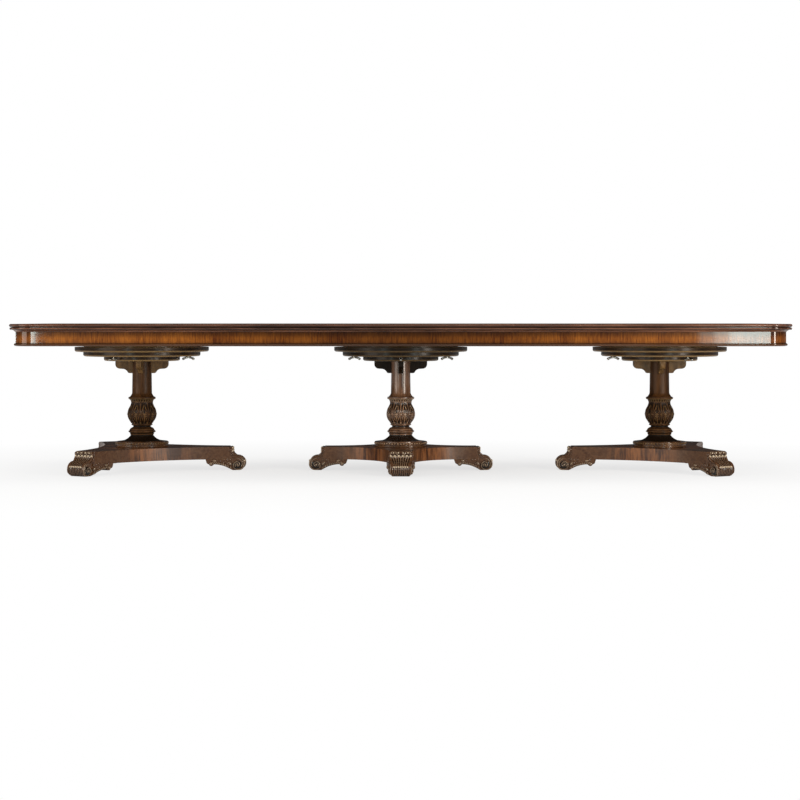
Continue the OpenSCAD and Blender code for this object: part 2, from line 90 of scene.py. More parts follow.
# Hollow sides of the platforms: the circle's centre along and across an arm, and its radius
QUAD_HOLLOW = (368.8 * MM, 368.8 * MM, 310 * MM)
TRI_HOLLOW = (563.2 * MM, 975.5 * MM, 921.4 * MM)
BASES = [
    Base("centre", 0, ["right", "back", "left", "front"], QUAD_HOLLOW),
    Base("left", 0, ["inner", "back", "front"], TRI_HOLLOW),
    Base("right", math.pi, ["inner", "front", "back"], TRI_HOLLOW),
]


# Working with the selection and the mesh

def clear_selection():
    """Leave edit mode and deselect every object."""
    if bpy.context.object and bpy.context.object.mode != "OBJECT":
        bpy.ops.object.mode_set(mode="OBJECT")
    bpy.ops.object.select_all(action="DESELECT")


def make_active(*pieces):
    """Select these pieces alone; the first becomes the active one."""
    clear_selection()
    for piece in pieces:
        piece.select_set(True)
    bpy.context.view_layer.objects.active = pieces[0]


def take(name):
    """The primitive that was just added, under its own name."""
    piece = bpy.context.object
    piece.name = piece.data.name = name
    return piece


def settle(piece):
    """Put the piece's place, turn and scale into its mesh."""
    make_active(piece)
    bpy.ops.object.transform_apply(location=True, rotation=True, scale=True)
    return piece


def joined(pieces, name):
    """Join pieces into one mesh."""
    make_active(*pieces)
    if len(pieces) > 1:
        bpy.ops.object.join()
    return take(name)


def copied(piece, matrices, name, keep_first=False):
    """Copies of a piece, each with its own mesh, moved by matrices and joined into one."""
    copies = []
    for matrix in matrices:
        copy = piece.copy()
        copy.data = piece.data.copy()
        copy.data.transform(matrix)
        bpy.context.scene.collection.objects.link(copy)
        copies.append(copy)
    if not keep_first:
        bpy.data.objects.remove(piece)
    return joined(copies, name)


def set_wear_and_painted_light(piece, value):
    """Store each corner's painted brightness of the carving, from 0 for wax and painted shade in a hollow to 1 for
    rubbed wear and painted highlight on a high spot.
    """
    attribute = piece.data.attributes.get("relief") or piece.data.attributes.new("relief", "FLOAT", "POINT")
    values = value if isinstance(value, list) else [value] * len(piece.data.vertices)
    attribute.data.foreach_set("value", values)


def add_ring(points, name):
    """A closed line of edges through points: a circle whose corners are moved to them."""
    clear_selection()
    bpy.ops.mesh.primitive_circle_add(vertices=len(points), radius=1, fill_type="NOTHING")
    ring = take(name)
    for corner, point in zip(ring.data.vertices, points):
        corner.co = point
    return ring


def spun(points, segments, name):
    """Turned solid: a closed outline of (radius, height) spun about Z."""
    piece = add_ring([(r, 0, z) for r, z in points], name)
    make_active(piece)
    bpy.ops.object.mode_set(mode="EDIT")
    bpy.ops.mesh.select_all(action="SELECT")
    bpy.ops.mesh.spin(steps=segments, angle=math.tau, center=(0, 0, 0), axis=(0, 0, 1))
    bpy.ops.mesh.select_all(action="SELECT")
    bpy.ops.mesh.remove_doubles(threshold=0.002 * MM)
    bpy.ops.mesh.delete_loose(use_verts=True, use_edges=True, use_faces=False)
    bpy.ops.mesh.select_all(action="SELECT")
    bpy.ops.mesh.normals_make_consistent(inside=False)
    bpy.ops.object.mode_set(mode="OBJECT")
    return piece


def smooth(piece, degrees):
    """Smooth shading with a crease wherever faces meet at more than this angle."""
    make_active(piece)
    bpy.ops.object.shade_smooth_by_angle(angle=math.radians(degrees))


def tube(points, radii, name, sides=10):
    """Round bar along points with a radius at each, made as a curve and turned into a mesh."""
    clear_selection()
    bpy.ops.curve.primitive_nurbs_path_add()
    piece = take(name)
    piece.data.splines.clear()
    spline = piece.data.splines.new("POLY")
    spline.points.add(len(points) - 1)
    for corner, point, radius in zip(spline.points, points, radii):
        corner.co = (*point, 1)
        corner.radius = radius
    piece.data.dimensions = "3D"
    piece.data.bevel_depth = 1
    piece.data.bevel_resolution = (sides - 4) // 2
    piece.data.use_fill_caps = True
    make_active(piece)
    bpy.ops.object.convert(target="MESH")
    return bpy.context.object


def bead(radius, name, squash=1.0):
    """Small carved pearl."""
    clear_selection()
    bpy.ops.mesh.primitive_uv_sphere_add(segments=12, ring_count=8, radius=radius)
    piece = take(name)
    piece.scale = (1, squash, 1)
    return settle(piece)


def rod(name, sides, radius, top, bottom):
    """Upright round bar about Z between two heights."""
    clear_selection()
    bpy.ops.mesh.primitive_cylinder_add(vertices=sides, radius=radius, depth=top - bottom,
                                        location=(0, 0, (top + bottom) / 2))
    return settle(take(name))


# Outlines in a plane, as lists of (x, y) points, and curves from 0 to 1

def arc(start, end, rise, spacing):
    """Points from start to end, end left out, along an arc that stands rise to the right of the chord."""
    across = (end[0] - start[0], end[1] - start[1])
    length = math.hypot(*across)
    steps = max(1, math.ceil(length / spacing))
    along = (across[0] / length, across[1] / length)
    points = []
    for i in range(steps):
        share = i / steps
        if abs(rise) < 0.01 * MM:
            out, forward = 0.0, share * length
        else:
            radius = (length * length / 4 + rise * rise) / (2 * abs(rise))
            half = 2 * math.atan2(2 * abs(rise), length)
            angle = half * (2 * share - 1)
            out = math.copysign(radius * math.cos(angle) - radius + abs(rise), rise)
            forward = length / 2 + radius * math.sin(angle)
        points.append((start[0] + along[0] * forward + along[1] * out,
                       start[1] + along[1] * forward - along[0] * out))
    return points


def outward(points):
    """Unit normals of a closed outline, pointing away from its inside."""
    pairs = [(points[i - 1], points[i]) for i in range(len(points))]
    side = math.copysign(1, sum(a[0] * b[1] - b[0] * a[1] for a, b in pairs))
    normals = []
    for i in range(len(points)):
        before, after = points[i - 1], points[(i + 1) % len(points)]
        dx, dy = after[0] - before[0], after[1] - before[1]
        length = math.hypot(dx, dy) or 1
        normals.append((side * dy / length, -side * dx / length))
    return normals


def ease(x, low, high):
    """0 below low, 1 above high, and smooth between them."""
    share = min(1.0, max(0.0, (x - low) / (high - low)))
    return share * share * (3 - 2 * share)


def rounded(x):
    """Half-round bar across x from -1 to 1: 1 in its middle and 0 at its edges."""
    return math.sqrt(max(0.0, 1 - x * x))


def wave(x):
    """0 at whole numbers and 1 midway between them."""
    return 0.5 - 0.5 * math.cos(math.tau * x)


def ridge(x, half_width):
    """Soft ridge: 1 at x = 0, falling away on both sides."""
    return math.exp(-(x / half_width) ** 2)


def arches(x):
    """Row of arches: 0 at the middle of each and 1 where two meet, at whole numbers."""
    return abs((x % 1.0) * 2 - 1)


# Settings that a user would change

class TableStudioSettings(bpy.types.PropertyGroup):
    """Camera, lamps and ground."""
    camera_distance: bpy.props.FloatProperty(
        name="Camera distance", description="From the table's middle to the camera",
        default=10.0, min=4, unit="LENGTH")
    camera_height: bpy.props.FloatProperty(
        name="Camera height", description="Just over the table top", default=0.785, unit="LENGTH")
    lens: bpy.props.FloatProperty(
        name="Lens", description="Focal length on a 36 mm sensor", default=86.1, unit="CAMERA")
    table_line: bpy.props.FloatProperty(
        name="Horizon", description="Height of the horizon in the picture, in pixels from its top",
        default=319.3, subtype="PIXEL")
    table_offset: bpy.props.FloatProperty(
        name="Offset", description="How far right of the picture's middle the table stands, in pixels",
        default=0.75, subtype="PIXEL")
    ground_colour: bpy.props.FloatVectorProperty(
        name="Ground", description="Pale studio floor", default=(0.84, 0.865, 0.89), subtype="COLOR")
    ground_share: bpy.props.FloatProperty(
        name="Paper white", description="Share of plain white in the floor below the table",
        default=0.68, min=0, max=1, subtype="FACTOR")
    shadow_length: bpy.props.FloatProperty(
        name="Shadow length", description="Where the floor turns white, along the table from its middle",
        default=3.6, unit="LENGTH")
    shadow_width: bpy.props.FloatProperty(
        name="Shadow width", description="Where the floor turns white, across the table from its middle",
        default=2.2, unit="LENGTH")
    warm_light: bpy.props.FloatVectorProperty(
        name="Warm light", description="Colour of the softboxes", default=(1.0, 0.9, 0.79), subtype="COLOR")
    cool_light: bpy.props.FloatVectorProperty(
        name="Cool light", description="Colour of the cards", default=(0.86, 0.98, 0.93), subtype="COLOR")
    glossy_white: bpy.props.FloatProperty(
        name="White in gloss", description="Share of the white background that polished faces show",
        default=0.05, min=0, max=1, subtype="FACTOR")
    fill: bpy.props.FloatProperty(
        name="Fill light", description="Strength of the even light from all round",
        default=0.5, min=0, subtype="FACTOR")


class TableColumnSettings(bpy.types.PropertyGroup):
    """Turned and carved columns."""
    segments: bpy.props.IntProperty(name="Segments", description="Steps round the column", default=256)
    leaves: bpy.props.IntProperty(name="Leaves", description="Carved leaves round the bulb", default=10)
    leaf_pitch: bpy.props.FloatProperty(
        name="Leaf pitch", description="From one leaf to the next round the bulb",
        default=47 * MM, unit="LENGTH")
    leaf_depth: bpy.props.FloatProperty(
        name="Leaf relief", description="Thickness of a carved leaf", default=3.2 * MM, unit="LENGTH")
    knob_height: bpy.props.FloatProperty(
        name="Knob height", description="Of the rosettes' knobs over the plinth",
        default=143 * MM, unit="LENGTH")
    rib_angle: bpy.props.FloatProperty(name="Rib angle", description="Degrees from rib to rib", default=23)
    arches: bpy.props.IntProperty(name="Arches", description="Carved arches under the collar", default=28)
    arch_depth: bpy.props.FloatProperty(
        name="Arch depth", description="Depth between the arches", default=1.6 * MM, unit="LENGTH")
    flutes: bpy.props.IntProperty(name="Gadroons", description="Reeds round the flared foot", default=44)
    flute_depth: bpy.props.FloatProperty(
        name="Gadroon depth", description="Depth between the reeds", default=2.4 * MM, unit="LENGTH")
    pearls: bpy.props.IntProperty(name="Pearls", description="Beads round the plinth", default=56)
    pearl_radius: bpy.props.FloatProperty(
        name="Pearl radius", description="Radius of one bead", default=3.6 * MM, unit="LENGTH")
    fine_pearls: bpy.props.IntProperty(
        name="Fine pearls", description="Beads under the collar", default=60)
    fine_radius: bpy.props.FloatProperty(
        name="Fine pearl radius", description="Radius of one of these", default=2.8 * MM, unit="LENGTH")


class TableFootSettings(bpy.types.PropertyGroup):
    """Carved scroll feet."""
    slices: bpy.props.IntProperty(name="Slices", description="Steps across a foot", default=72)
    reeds: bpy.props.IntProperty(name="Reeds", description="Reeds on the bottom roll", default=9)
    fan: bpy.props.IntProperty(name="Fan flutes", description="Flutes on the sloping front", default=8)
    knuckles: bpy.props.IntProperty(name="Knuckles", description="Lobes in the top row", default=3)
    depth: bpy.props.FloatProperty(
        name="Carving depth", description="Depth between two reeds", default=3.6 * MM, unit="LENGTH")
    strap: bpy.props.FloatProperty(
        name="Strap radius", description="Half the width of the raised strap",
        default=2.9 * MM, unit="LENGTH")
    pearls: bpy.props.IntProperty(name="Pearls", description="Beads in the row over the fan", default=6)
    lobes: bpy.props.IntProperty(
        name="Leaf lobes", description="Lobes along the lower edge", default=9, min=2)


class TableScrewSettings(bpy.types.PropertyGroup):
    """Steel wing screws under the pedestal discs."""
    hub: bpy.props.FloatProperty(
        name="Hub radius", description="Radius of the hub", default=9 * MM, unit="LENGTH")
    hub_height: bpy.props.FloatProperty(
        name="Hub height", description="Height of the hub", default=11 * MM, unit="LENGTH")
    span: bpy.props.FloatProperty(
        name="Span", description="From tip to tip of the wings", default=58 * MM, unit="LENGTH")
    drop: bpy.props.FloatProperty(
        name="Drop", description="How far the tips hang below the disc", default=21 * MM, unit="LENGTH")
    wing: bpy.props.FloatProperty(
        name="Wing", description="Thickness of a wing", default=10.5 * MM, unit="LENGTH")
    shank: bpy.props.FloatProperty(
        name="Shank radius", description="Radius of the shank in the discs",
        default=4.9 * MM, unit="LENGTH")
    shank_length: bpy.props.FloatProperty(
        name="Shank length", description="How far the shank goes up into the discs",
        default=38 * MM, unit="LENGTH")


class TableFinishSettings(bpy.types.PropertyGroup):
    """Colours of the finishes."""
    top_light: bpy.props.StringProperty(
        name="Top, light", description="Light grain of the top", default="#734b36")
    top_dark: bpy.props.StringProperty(
        name="Top, dark", description="Dark grain of the top", default="#2c160c")
    band_light: bpy.props.StringProperty(
        name="Crossband, light", description="Light streaks of the aprons", default="#885018")
    band_dark: bpy.props.StringProperty(
        name="Crossband, dark", description="Dark streaks of the aprons", default="#461e06")
    # The apron bead's grey-brown is partly rubbed wear and partly painted sheen
    bead: bpy.props.StringProperty(
        name="Apron bead", description="Rubbed bead along the aprons' lower edge", default="#4a2e1a")
    disc_light: bpy.props.StringProperty(
        name="Discs, light", description="Light grain under the dark polish", default="#3d2814")
    disc_dark: bpy.props.StringProperty(
        name="Discs, dark", description="Dark grain under the dark polish", default="#1c1108")
    # Painted reflection of the floor on the discs' downward edges, and painted highlight on the upper disc's rim
    disc_painted_sheen: bpy.props.StringProperty(
        name="Discs, worn", description="Rubbed lower edges of the discs", default="#94764c")
    bracket_light: bpy.props.StringProperty(
        name="Brackets, light", description="Light grain of the brackets", default="#7a5c38")
    bracket_dark: bpy.props.StringProperty(
        name="Brackets, dark", description="Dark grain of the brackets", default="#4a3621")
    # Side columns painted darker than the middle one: a shaded copy of the same wood; their worn colour is rubbed
    # wear and painted highlight
    turned_light: bpy.props.StringProperty(
        name="Side columns, light", description="Light grain of the side columns", default="#50331a")
    turned_dark: bpy.props.StringProperty(
        name="Side columns, dark", description="Dark grain of the side columns", default="#241408")
    turned_wear_and_highlight: bpy.props.StringProperty(
        name="Side columns, worn", description="Rubbed high spots of the side columns", default="#786240")
    # Middle column painted lighter than the side ones: a lit copy of the same wood; its worn colour is rubbed wear
    # and painted highlight
    middle_light: bpy.props.StringProperty(
        name="Middle column, light", description="Light grain of the middle column", default="#7a5840")
    middle_dark: bpy.props.StringProperty(
        name="Middle column, dark", description="Dark grain of the middle column", default="#3c2415")
    middle_wear_and_highlight: bpy.props.StringProperty(
        name="Middle column, worn", description="Rubbed high spots of the middle column",
        default="#ae9476")
    # Wax in the carving's hollows, carrying painted shade there too
    carved_low: bpy.props.StringProperty(
        name="Old wax", description="Wax in the hollows of all carving", default="#120b06")
    plinth_light: bpy.props.StringProperty(
        name="Plinths, light", description="Light grain of the plinth discs", default="#65472f")
    plinth_dark: bpy.props.StringProperty(
        name="Plinths, dark", description="Dark grain of the plinth discs", default="#2c1a0f")
    flame_light: bpy.props.StringProperty(
        name="Flame, light", description="Warm flame figure of the platforms", default="#7c4e2b")
    flame_dark: bpy.props.StringProperty(
        name="Flame, dark", description="Dark flame figure of the platforms", default="#361b0c")
    burr: bpy.props.StringProperty(
        name="Burr", description="Greyer wood at the ends of the arms", default="#5b402b")
    # Rubbed wear and painted highlight on the feet's straps and pearls
    foot_worn: bpy.props.StringProperty(
        name="Feet, worn", description="Rubbed straps and pearls", default="#c0b098")
    planed_light: bpy.props.StringProperty(
        name="Carcase, light", description="Light grain of the hidden frame", default="#a9855a")
    planed_dark: bpy.props.StringProperty(
        name="Carcase, dark", description="Dark grain of the hidden frame", default="#7f5f3c")
    steel_light: bpy.props.StringProperty(
        name="Steel, light", description="Plated steel where it is clean", default="#b5b2aa")
    steel_dark: bpy.props.StringProperty(
        name="Steel, dark", description="Plated steel in its scratches", default="#8a8780")


# Finishes: an output of a node is passed on as (node, output)

# The top's moulded edge, (millimetres over the table's upper face, grey): painted highlight on the beads and
# painted shade in the quirks
TOP_EDGE_PAINTED_LIGHT = [(-39, 1.2), (-30, 1.2), (-29, 0.35), (-25, 0.35), (-24, 1.1), (-20, 1.1), (-19, 0.3), (-11, 0.4),
            (-9, 1.0), (0, 1.0)]
# The aprons' veneer, (millimetres over its lower or under its upper edge, grey), over the bead: painted shade
# above the bead and painted shadow under the top's moulding
VENEER_LOW_PAINTED_SHADE = [(11, 0.2), (14, 0.3), (17, 0.75), (27, 1.08), (40, 1.08)]
VENEER_HIGH_PAINTED_SHADE = [(-16, 0.6), (0, 0.3)]
BEAD_START = 11
BEAD_FULL = 9
# The upper disc's rim with a painted highlight, in millimetres over the aprons' lower edge
RIM_HIGHLIGHT_START = -14
RIM_HIGHLIGHT_FULL = -8
# Metres from the table's middle: where the painted shade at the middle starts to lift, and where it is gone
SHADE_LIFTS_FROM = 0.1
SHADE_GONE_AT = 1.15
# Metres from a pedestal's axis: where burr starts to take over on the arms, and where it is all burr
BURR_START = 0.23
BURR_FULL = 0.31
# Painted brightness of the carving, from 0 to 1: where its wax and painted shade thin out, and where its rubbed
# wear and painted highlight start
WAX_AND_SHADE = (0.08, 0.45)
WEAR_AND_HIGHLIGHT = (0.62, 0.95)


def linear(hex_colour):
    """sRGB hex value as a linear colour."""
    parts = [int(hex_colour[i:i + 2], 16) / 255 for i in (1, 3, 5)]
    return (*[c / 12.92 if c <= 0.04045 else ((c + 0.055) / 1.055) ** 2.4 for c in parts], 1.0)


def put(tree, kind, inputs=None, stops=(), **settings):
    """Add a node with its settings, its inputs, as values or (node, output) links, and its ramp's stops."""
    added = tree.nodes.new("ShaderNode" + kind)
    for key, value in settings.items():
        setattr(added, key, value)
    for key, value in (inputs or {}).items():
        if isinstance(value, tuple) and isinstance(value[0], bpy.types.Node):
            tree.links.new(value[0].outputs[value[1]], added.inputs[key])
        else:
            added.inputs[key].default_value = value
    elements = added.color_ramp.elements if stops else ()
    while len(elements) < len(stops):
        elements.new(1.0)
    for element, (position, colour) in zip(elements, stops):
        element.position = position
        element.color = colour
    return added


def new_finish(name):
    """Empty material, its node tree and the object's own coordinates."""
    material = bpy.data.materials.new(name)
    material.use_nodes = True
    tree = material.node_tree
    tree.nodes.clear()
    return material, tree, put(tree, "TexCoord")


def patches(tree, place, size, detail, roughness=0.5, wander=0.0):
    """Soft noise whose patches have a size in millimetres along each axis."""
    scale = tuple(1 / (side * MM) for side in size)
    spread = put(tree, "Mapping", {"Vector": (place, "Object"), "Scale": scale})
    noise = put(tree, "TexNoise", {"Vector": (spread, "Vector"), "Scale": 1.0, "Detail": detail,
                                   "Roughness": roughness, "Distortion": wander})
    return noise, "Fac"


def streaks(tree, place, size):
    """Fine streaks of open grain of a size in millimetres."""
    return patches(tree, place, size, detail=4.0, roughness=0.65, wander=0.3)


def wood(tree, place, dark, light, streak, figure, wander, contrast=0.12, fine_share=0.45):
    """Colour of fine streaks over a broad wandering figure, from dark to light, and the streaks alone."""
    broad = patches(tree, place, figure, detail=3.0, roughness=0.55, wander=wander)
    fine = streaks(tree, place, streak)
    both = put(tree, "Mix", {"Factor": fine_share, "A": broad, "B": fine})
    shade = put(tree, "ValToRGB", {"Fac": (both, "Result")},
                [(0.5 - contrast, linear(dark)), (0.5 + contrast, linear(light))])
    return (shade, "Color"), fine


def burr(tree, place, look):
    """Mottled grey-brown burr with knots some ten millimetres across."""
    knots = patches(tree, place, (16, 16, 16), detail=4.0, roughness=0.7, wander=1.2)
    shade = put(tree, "ValToRGB", {"Fac": knots},
                [(0.28, linear(look.flame_dark)), (0.64, linear(look.burr))])
    return shade, "Color"


def painted_shade_at_middle(tree, place, colour, middle):
    """Painted shade: darker by a share at the table's middle, lighter towards its ends."""
    axes = put(tree, "SeparateXYZ", {"Vector": (place, "Object")})
    along = put(tree, "Math", {0: (axes, "X")}, operation="ABSOLUTE")
    shade = put(tree, "MapRange", {"Value": (along, "Value"), "From Min": SHADE_LIFTS_FROM, "From Max": SHADE_GONE_AT,
                                   "To Min": 1 - middle, "To Max": 1.0})
    return put(tree, "VectorMath", {0: colour, 1: (shade, "Result")}, operation="MULTIPLY"), "Vector"


def banded(tree, place, colour, levels):
    """Colour times a grey that changes with height over the floor, by (millimetres, grey) levels."""
    axes = put(tree, "SeparateXYZ", {"Vector": (place, "Object")})
    low, high = levels[0][0], levels[-1][0]
    height = put(tree, "MapRange", {"Value": (axes, "Z"), "From Min": low * MM, "From Max": high * MM})
    greys = put(tree, "ValToRGB", {"Fac": (height, "Result")},
                [((z - low) / (high - low), (grey, grey, grey, 1)) for z, grey in levels])
    return put(tree, "VectorMath", {0: colour, 1: (greys, "Color")}, operation="MULTIPLY"), "Vector"


def above(tree, place, start, full):
    """0 at the height start and 1 at the height full, in metres over the floor."""
    axes = put(tree, "SeparateXYZ", {"Vector": (place, "Object")})
    return put(tree, "MapRange", {"Value": (axes, "Z"), "From Min": start, "From Max": full}), "Result"


def arm_end(tree, place):
    """0 near a pedestal's axis and 1 at its arms' ends; the pedestals stand at equal steps."""
    half_step = BASES[2].axis.x / 2
    axes = put(tree, "SeparateXYZ", {"Vector": (place, "Object")})
    along = put(tree, "Math", {0: (axes, "X"), 1: half_step}, operation="PINGPONG")
    flat = put(tree, "CombineXYZ", {"X": (along, "Value"), "Y": (axes, "Y")})
    away = put(tree, "VectorMath", {0: (flat, "Vector")}, operation="LENGTH")
    share = put(tree, "MapRange", {"Value": (away, "Value"), "From Min": BURR_START, "From Max": BURR_FULL})
    return share, "Result"


def polished(name, body, roughness, coat, coat_roughness, pores=0.0):
    """Wood under a film of polish, which carries nearly all the gloss, over the wood's own faint sheen.

    body(tree, place) gives the wood's colour and its fine streaks, and pores is their depth in millimetres.
    """
    material, tree, place = new_finish(name)
    colour, fine = body(tree, place)
    shader = put(tree, "BsdfPrincipled", {
        "Base Color": colour, "Roughness": roughness, "Specular IOR Level": 0.08, "IOR": 1.5,
        "Coat Weight": coat, "Coat Roughness": coat_roughness})
    if pores:
        bump = put(tree, "Bump", {"Height": fine, "Distance": pores * MM, "Strength": 0.6})
        tree.links.new(bump.outputs["Normal"], shader.inputs["Normal"])
    put(tree, "OutputMaterial", {"Surface": (shader, "BSDF")})
    return material


def mahogany_top(look):
    """French polished mahogany: red-brown and glassy, grain along the table, with painted highlight on the
    moulding's beads, painted shade in its quirks and painted shade at the table's middle.
    """
    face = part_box("top_centre")[1].z / MM

    def body(tree, place):
        colour, fine = wood(tree, place, look.top_dark, look.top_light,
                            streak=(90, 5, 5), figure=(700, 45, 45), wander=0.6)
        colour = painted_shade_at_middle(tree, place, colour, 0.4)
        return banded(tree, place, colour, [(face + z, grey) for z, grey in TOP_EDGE_PAINTED_LIGHT]), fine
    return polished("french_polished_mahogany", body, roughness=0.35, coat=0.6, coat_roughness=0.14)


def crossband(look):
    """Crossbanded mahogany: golden upright streaks with painted shade along their upper and lower edges and at the
    table's middle, over a grey-brown bead that is partly rubbed wear and partly painted sheen.
    """
    low, high = [corner.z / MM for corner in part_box("apron_centre_front")]
    levels = [(low + z, grey) for z, grey in VENEER_LOW_PAINTED_SHADE] + [(high + z, grey) for z, grey in VENEER_HIGH_PAINTED_SHADE]

    def body(tree, place):
        colour, fine = wood(tree, place, look.band_dark, look.band_light,
                            streak=(7, 7, 70), figure=(150, 150, 500), wander=0.4, fine_share=0.6)
        # Painted shade along the veneer's upper and lower edges and at the table's middle
        veneer = banded(tree, place, painted_shade_at_middle(tree, place, colour, 0.55), levels)
        # The bead: rubbed wear and painted sheen, with painted shade at the table's middle
        bead_colour = painted_shade_at_middle(tree, place, linear(look.bead)[:3], 0.5)
        share = above(tree, place, (low + BEAD_START) * MM, (low + BEAD_FULL) * MM)
        return (put(tree, "MixRGB", {"Fac": share, "Color1": veneer, "Color2": bead_colour}), "Color"), fine
    return polished("crossband_veneer", body, roughness=0.35, coat=0.6, coat_roughness=0.05)


def dark_turning(look):
    """Turned mahogany under old dark polish: nearly black in shade, with a painted reflection of the floor on its
    downward edges, a painted highlight on the upper disc's rim and painted shade at the table's middle.
    """
    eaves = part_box("apron_centre_front")[0].z

    def body(tree, place):
        colour, fine = wood(tree, place, look.disc_dark, look.disc_light,
                            streak=(12, 12, 90), figure=(60, 60, 240), wander=0.5)
        # Painted reflection: faces that look down turn pale as if they mirrored the floor
        facing = put(tree, "SeparateXYZ", {"Vector": (place, "Normal")})
        lower = put(tree, "MapRange", {"Value": (facing, "Z"), "From Min": -1.0, "From Max": 0.0})
        rubbed = put(tree, "ValToRGB", {"Fac": (lower, "Result")},
                     [(0.03, BLACK), (0.2, WHITE), (0.8, (0.5, 0.5, 0.5, 1)), (0.98, BLACK)])
        # Painted highlight along the upper disc's rim, just under the aprons
        rim = above(tree, place, eaves + RIM_HIGHLIGHT_START * MM, eaves + RIM_HIGHLIGHT_FULL * MM)
        edges = put(tree, "Math", {0: (rubbed, "Color"), 1: rim}, operation="MAXIMUM")
        worn = put(tree, "MixRGB", {"Fac": (edges, "Value"), "Color1": colour,
                                    "Color2": linear(look.disc_painted_sheen)})
        return painted_shade_at_middle(tree, place, (worn, "Color"), 0.6), fine
    return polished("dark_polished_turning", body, roughness=0.4, coat=0.25, coat_roughness=0.25)


def plinth_wood(look):
    """Plinth discs: the columns' red-brown under a glassy film that draws bright lines on the beads."""
    def body(tree, place):
        return wood(tree, place, look.plinth_dark, look.plinth_light,
                    streak=(8, 8, 60), figure=(60, 60, 200), wander=0.5)
    return polished("polished_plinth", body, roughness=0.3, coat=1.0, coat_roughness=0.16)


def bracket_wood(look):
    """Brackets under the discs: thin dark polish on plain wood, with painted shade that makes them almost black at
    the table's middle.
    """
    def body(tree, place):
        colour, fine = wood(tree, place, look.bracket_dark, look.bracket_light,
                            streak=(30, 30, 60), figure=(60, 60, 240), wander=0.5)
        return painted_shade_at_middle(tree, place, colour, 0.93), fine
    return polished("dark_bracket_wood", body, roughness=0.4, coat=0.15, coat_roughness=0.3, pores=0.05)


def flame_veneer(look):
    """Upright flame mahogany veneer on the platforms, running out into grey-brown burr at the arms' ends."""
    def body(tree, place):
        flame, fine = wood(tree, place, look.flame_dark, look.flame_light,
                           streak=(10, 10, 90), figure=(70, 70, 300), wander=0.8, contrast=0.07)
        colour = put(tree, "MixRGB", {"Fac": arm_end(tree, place), "Color1": flame,
                                      "Color2": burr(tree, place, look)})
        return (colour, "Color"), fine
    return polished("flame_veneer", body, roughness=0.35, coat=0.6, coat_roughness=0.28, pores=0.05)


def planed_wood(look):
    """Planed unpolished hardwood of the hidden frame: pale and dry."""
    def body(tree, place):
        return wood(tree, place, look.planed_dark, look.planed_light,
                    streak=(120, 4, 4), figure=(600, 40, 40), wander=0.5, contrast=0.1)
    return polished("planed_carcase_wood", body, roughness=0.6, coat=0.0, coat_roughness=0.2, pores=0.05)


def carved(name, wood_below, wear_and_highlight_colour, look, **film):
    """Carved mahogany: wax and painted shade darken the hollows, and rubbed wear and painted highlight pale the
    high spots.
    """
    def body(tree, place):
        colour, fine = wood_below(tree, place)
        # The relief attribute holds painted brightness: wax and painted shade low, rubbed wear and painted
        # highlight high
        relief = put(tree, "Attribute", attribute_name="relief")
        rubbed = put(tree, "ValToRGB", {"Fac": (relief, "Fac")}, [(WEAR_AND_HIGHLIGHT[0], BLACK), (WEAR_AND_HIGHLIGHT[1], WHITE)])
        hollow = put(tree, "ValToRGB", {"Fac": (relief, "Fac")}, [(WAX_AND_SHADE[0], WHITE), (WAX_AND_SHADE[1], BLACK)])
        worn = put(tree, "MixRGB", {"Fac": (rubbed, "Color"), "Color1": colour,
                                    "Color2": linear(wear_and_highlight_colour)})
        wax_and_shade_colour = put(tree, "MixRGB", {"Fac": (hollow, "Color"), "Color1": (worn, "Color"),
                                     "Color2": linear(look.carved_low)})
        return (wax_and_shade_colour, "Color"), fine
    return polished(name, body, pores=0.06, **film)


def upright_grain(dark, light):
    """Body of a column's wood: straight grain up the column."""
    def body(tree, place):
        return wood(tree, place, dark, light, streak=(5, 5, 60), figure=(40, 40, 200), wander=0.6)
    return body


def shaded_side_column_carving(look):
    """Carved side columns: dark red-brown, painted darker than the middle column as a shaded copy of its wood,
    satin with age, pale along the leaves' edges from rubbed wear and painted highlight.
    """
    return carved("carved_satin_mahogany", upright_grain(look.turned_dark, look.turned_light),
                  look.turned_wear_and_highlight, look, roughness=0.4, coat=0.12, coat_roughness=0.4)


def lit_middle_column_carving(look):
    """Carved middle column: the side columns' wood painted lighter as a lit copy, under a fresh glassy film with
    sharp highlights.
    """
    return carved("carved_glossy_mahogany", upright_grain(look.middle_dark, look.middle_light),
                  look.middle_wear_and_highlight, look, roughness=0.3, coat=1.0, coat_roughness=0.25)


def foot_carving(look):
    """Carved feet: the burr in which the platforms' arms end, pale grey on straps and pearls from rubbed wear and
    painted highlight.
    """
    def mottled(tree, place):
        return burr(tree, place, look), streaks(tree, place, (8, 8, 60))
    return carved("carved_antique_mahogany", mottled, look.foot_worn, look,
                  roughness=0.3, coat=0.8, coat_roughness=0.16)


def bright_steel(look):
    """Zinc-plated steel of the wing screws: pale grey with fine scratches from turning."""
    material, tree, place = new_finish("bright_plated_steel")
    scratch = patches(tree, place, (1.2, 1.2, 0.4), detail=2.0)
    tone = put(tree, "ValToRGB", {"Fac": scratch},
               [(0.3, linear(look.steel_dark)), (0.7, linear(look.steel_light))])
    bump = put(tree, "Bump", {"Height": scratch, "Distance": 0.03 * MM, "Strength": 0.6})
    shader = put(tree, "BsdfPrincipled", {"Base Color": (tone, "Color"), "Metallic": 1.0, "Roughness": 0.2,
                                          "Normal": (bump, "Normal")})
    put(tree, "OutputMaterial", {"Surface": (shader, "BSDF")})
    return material


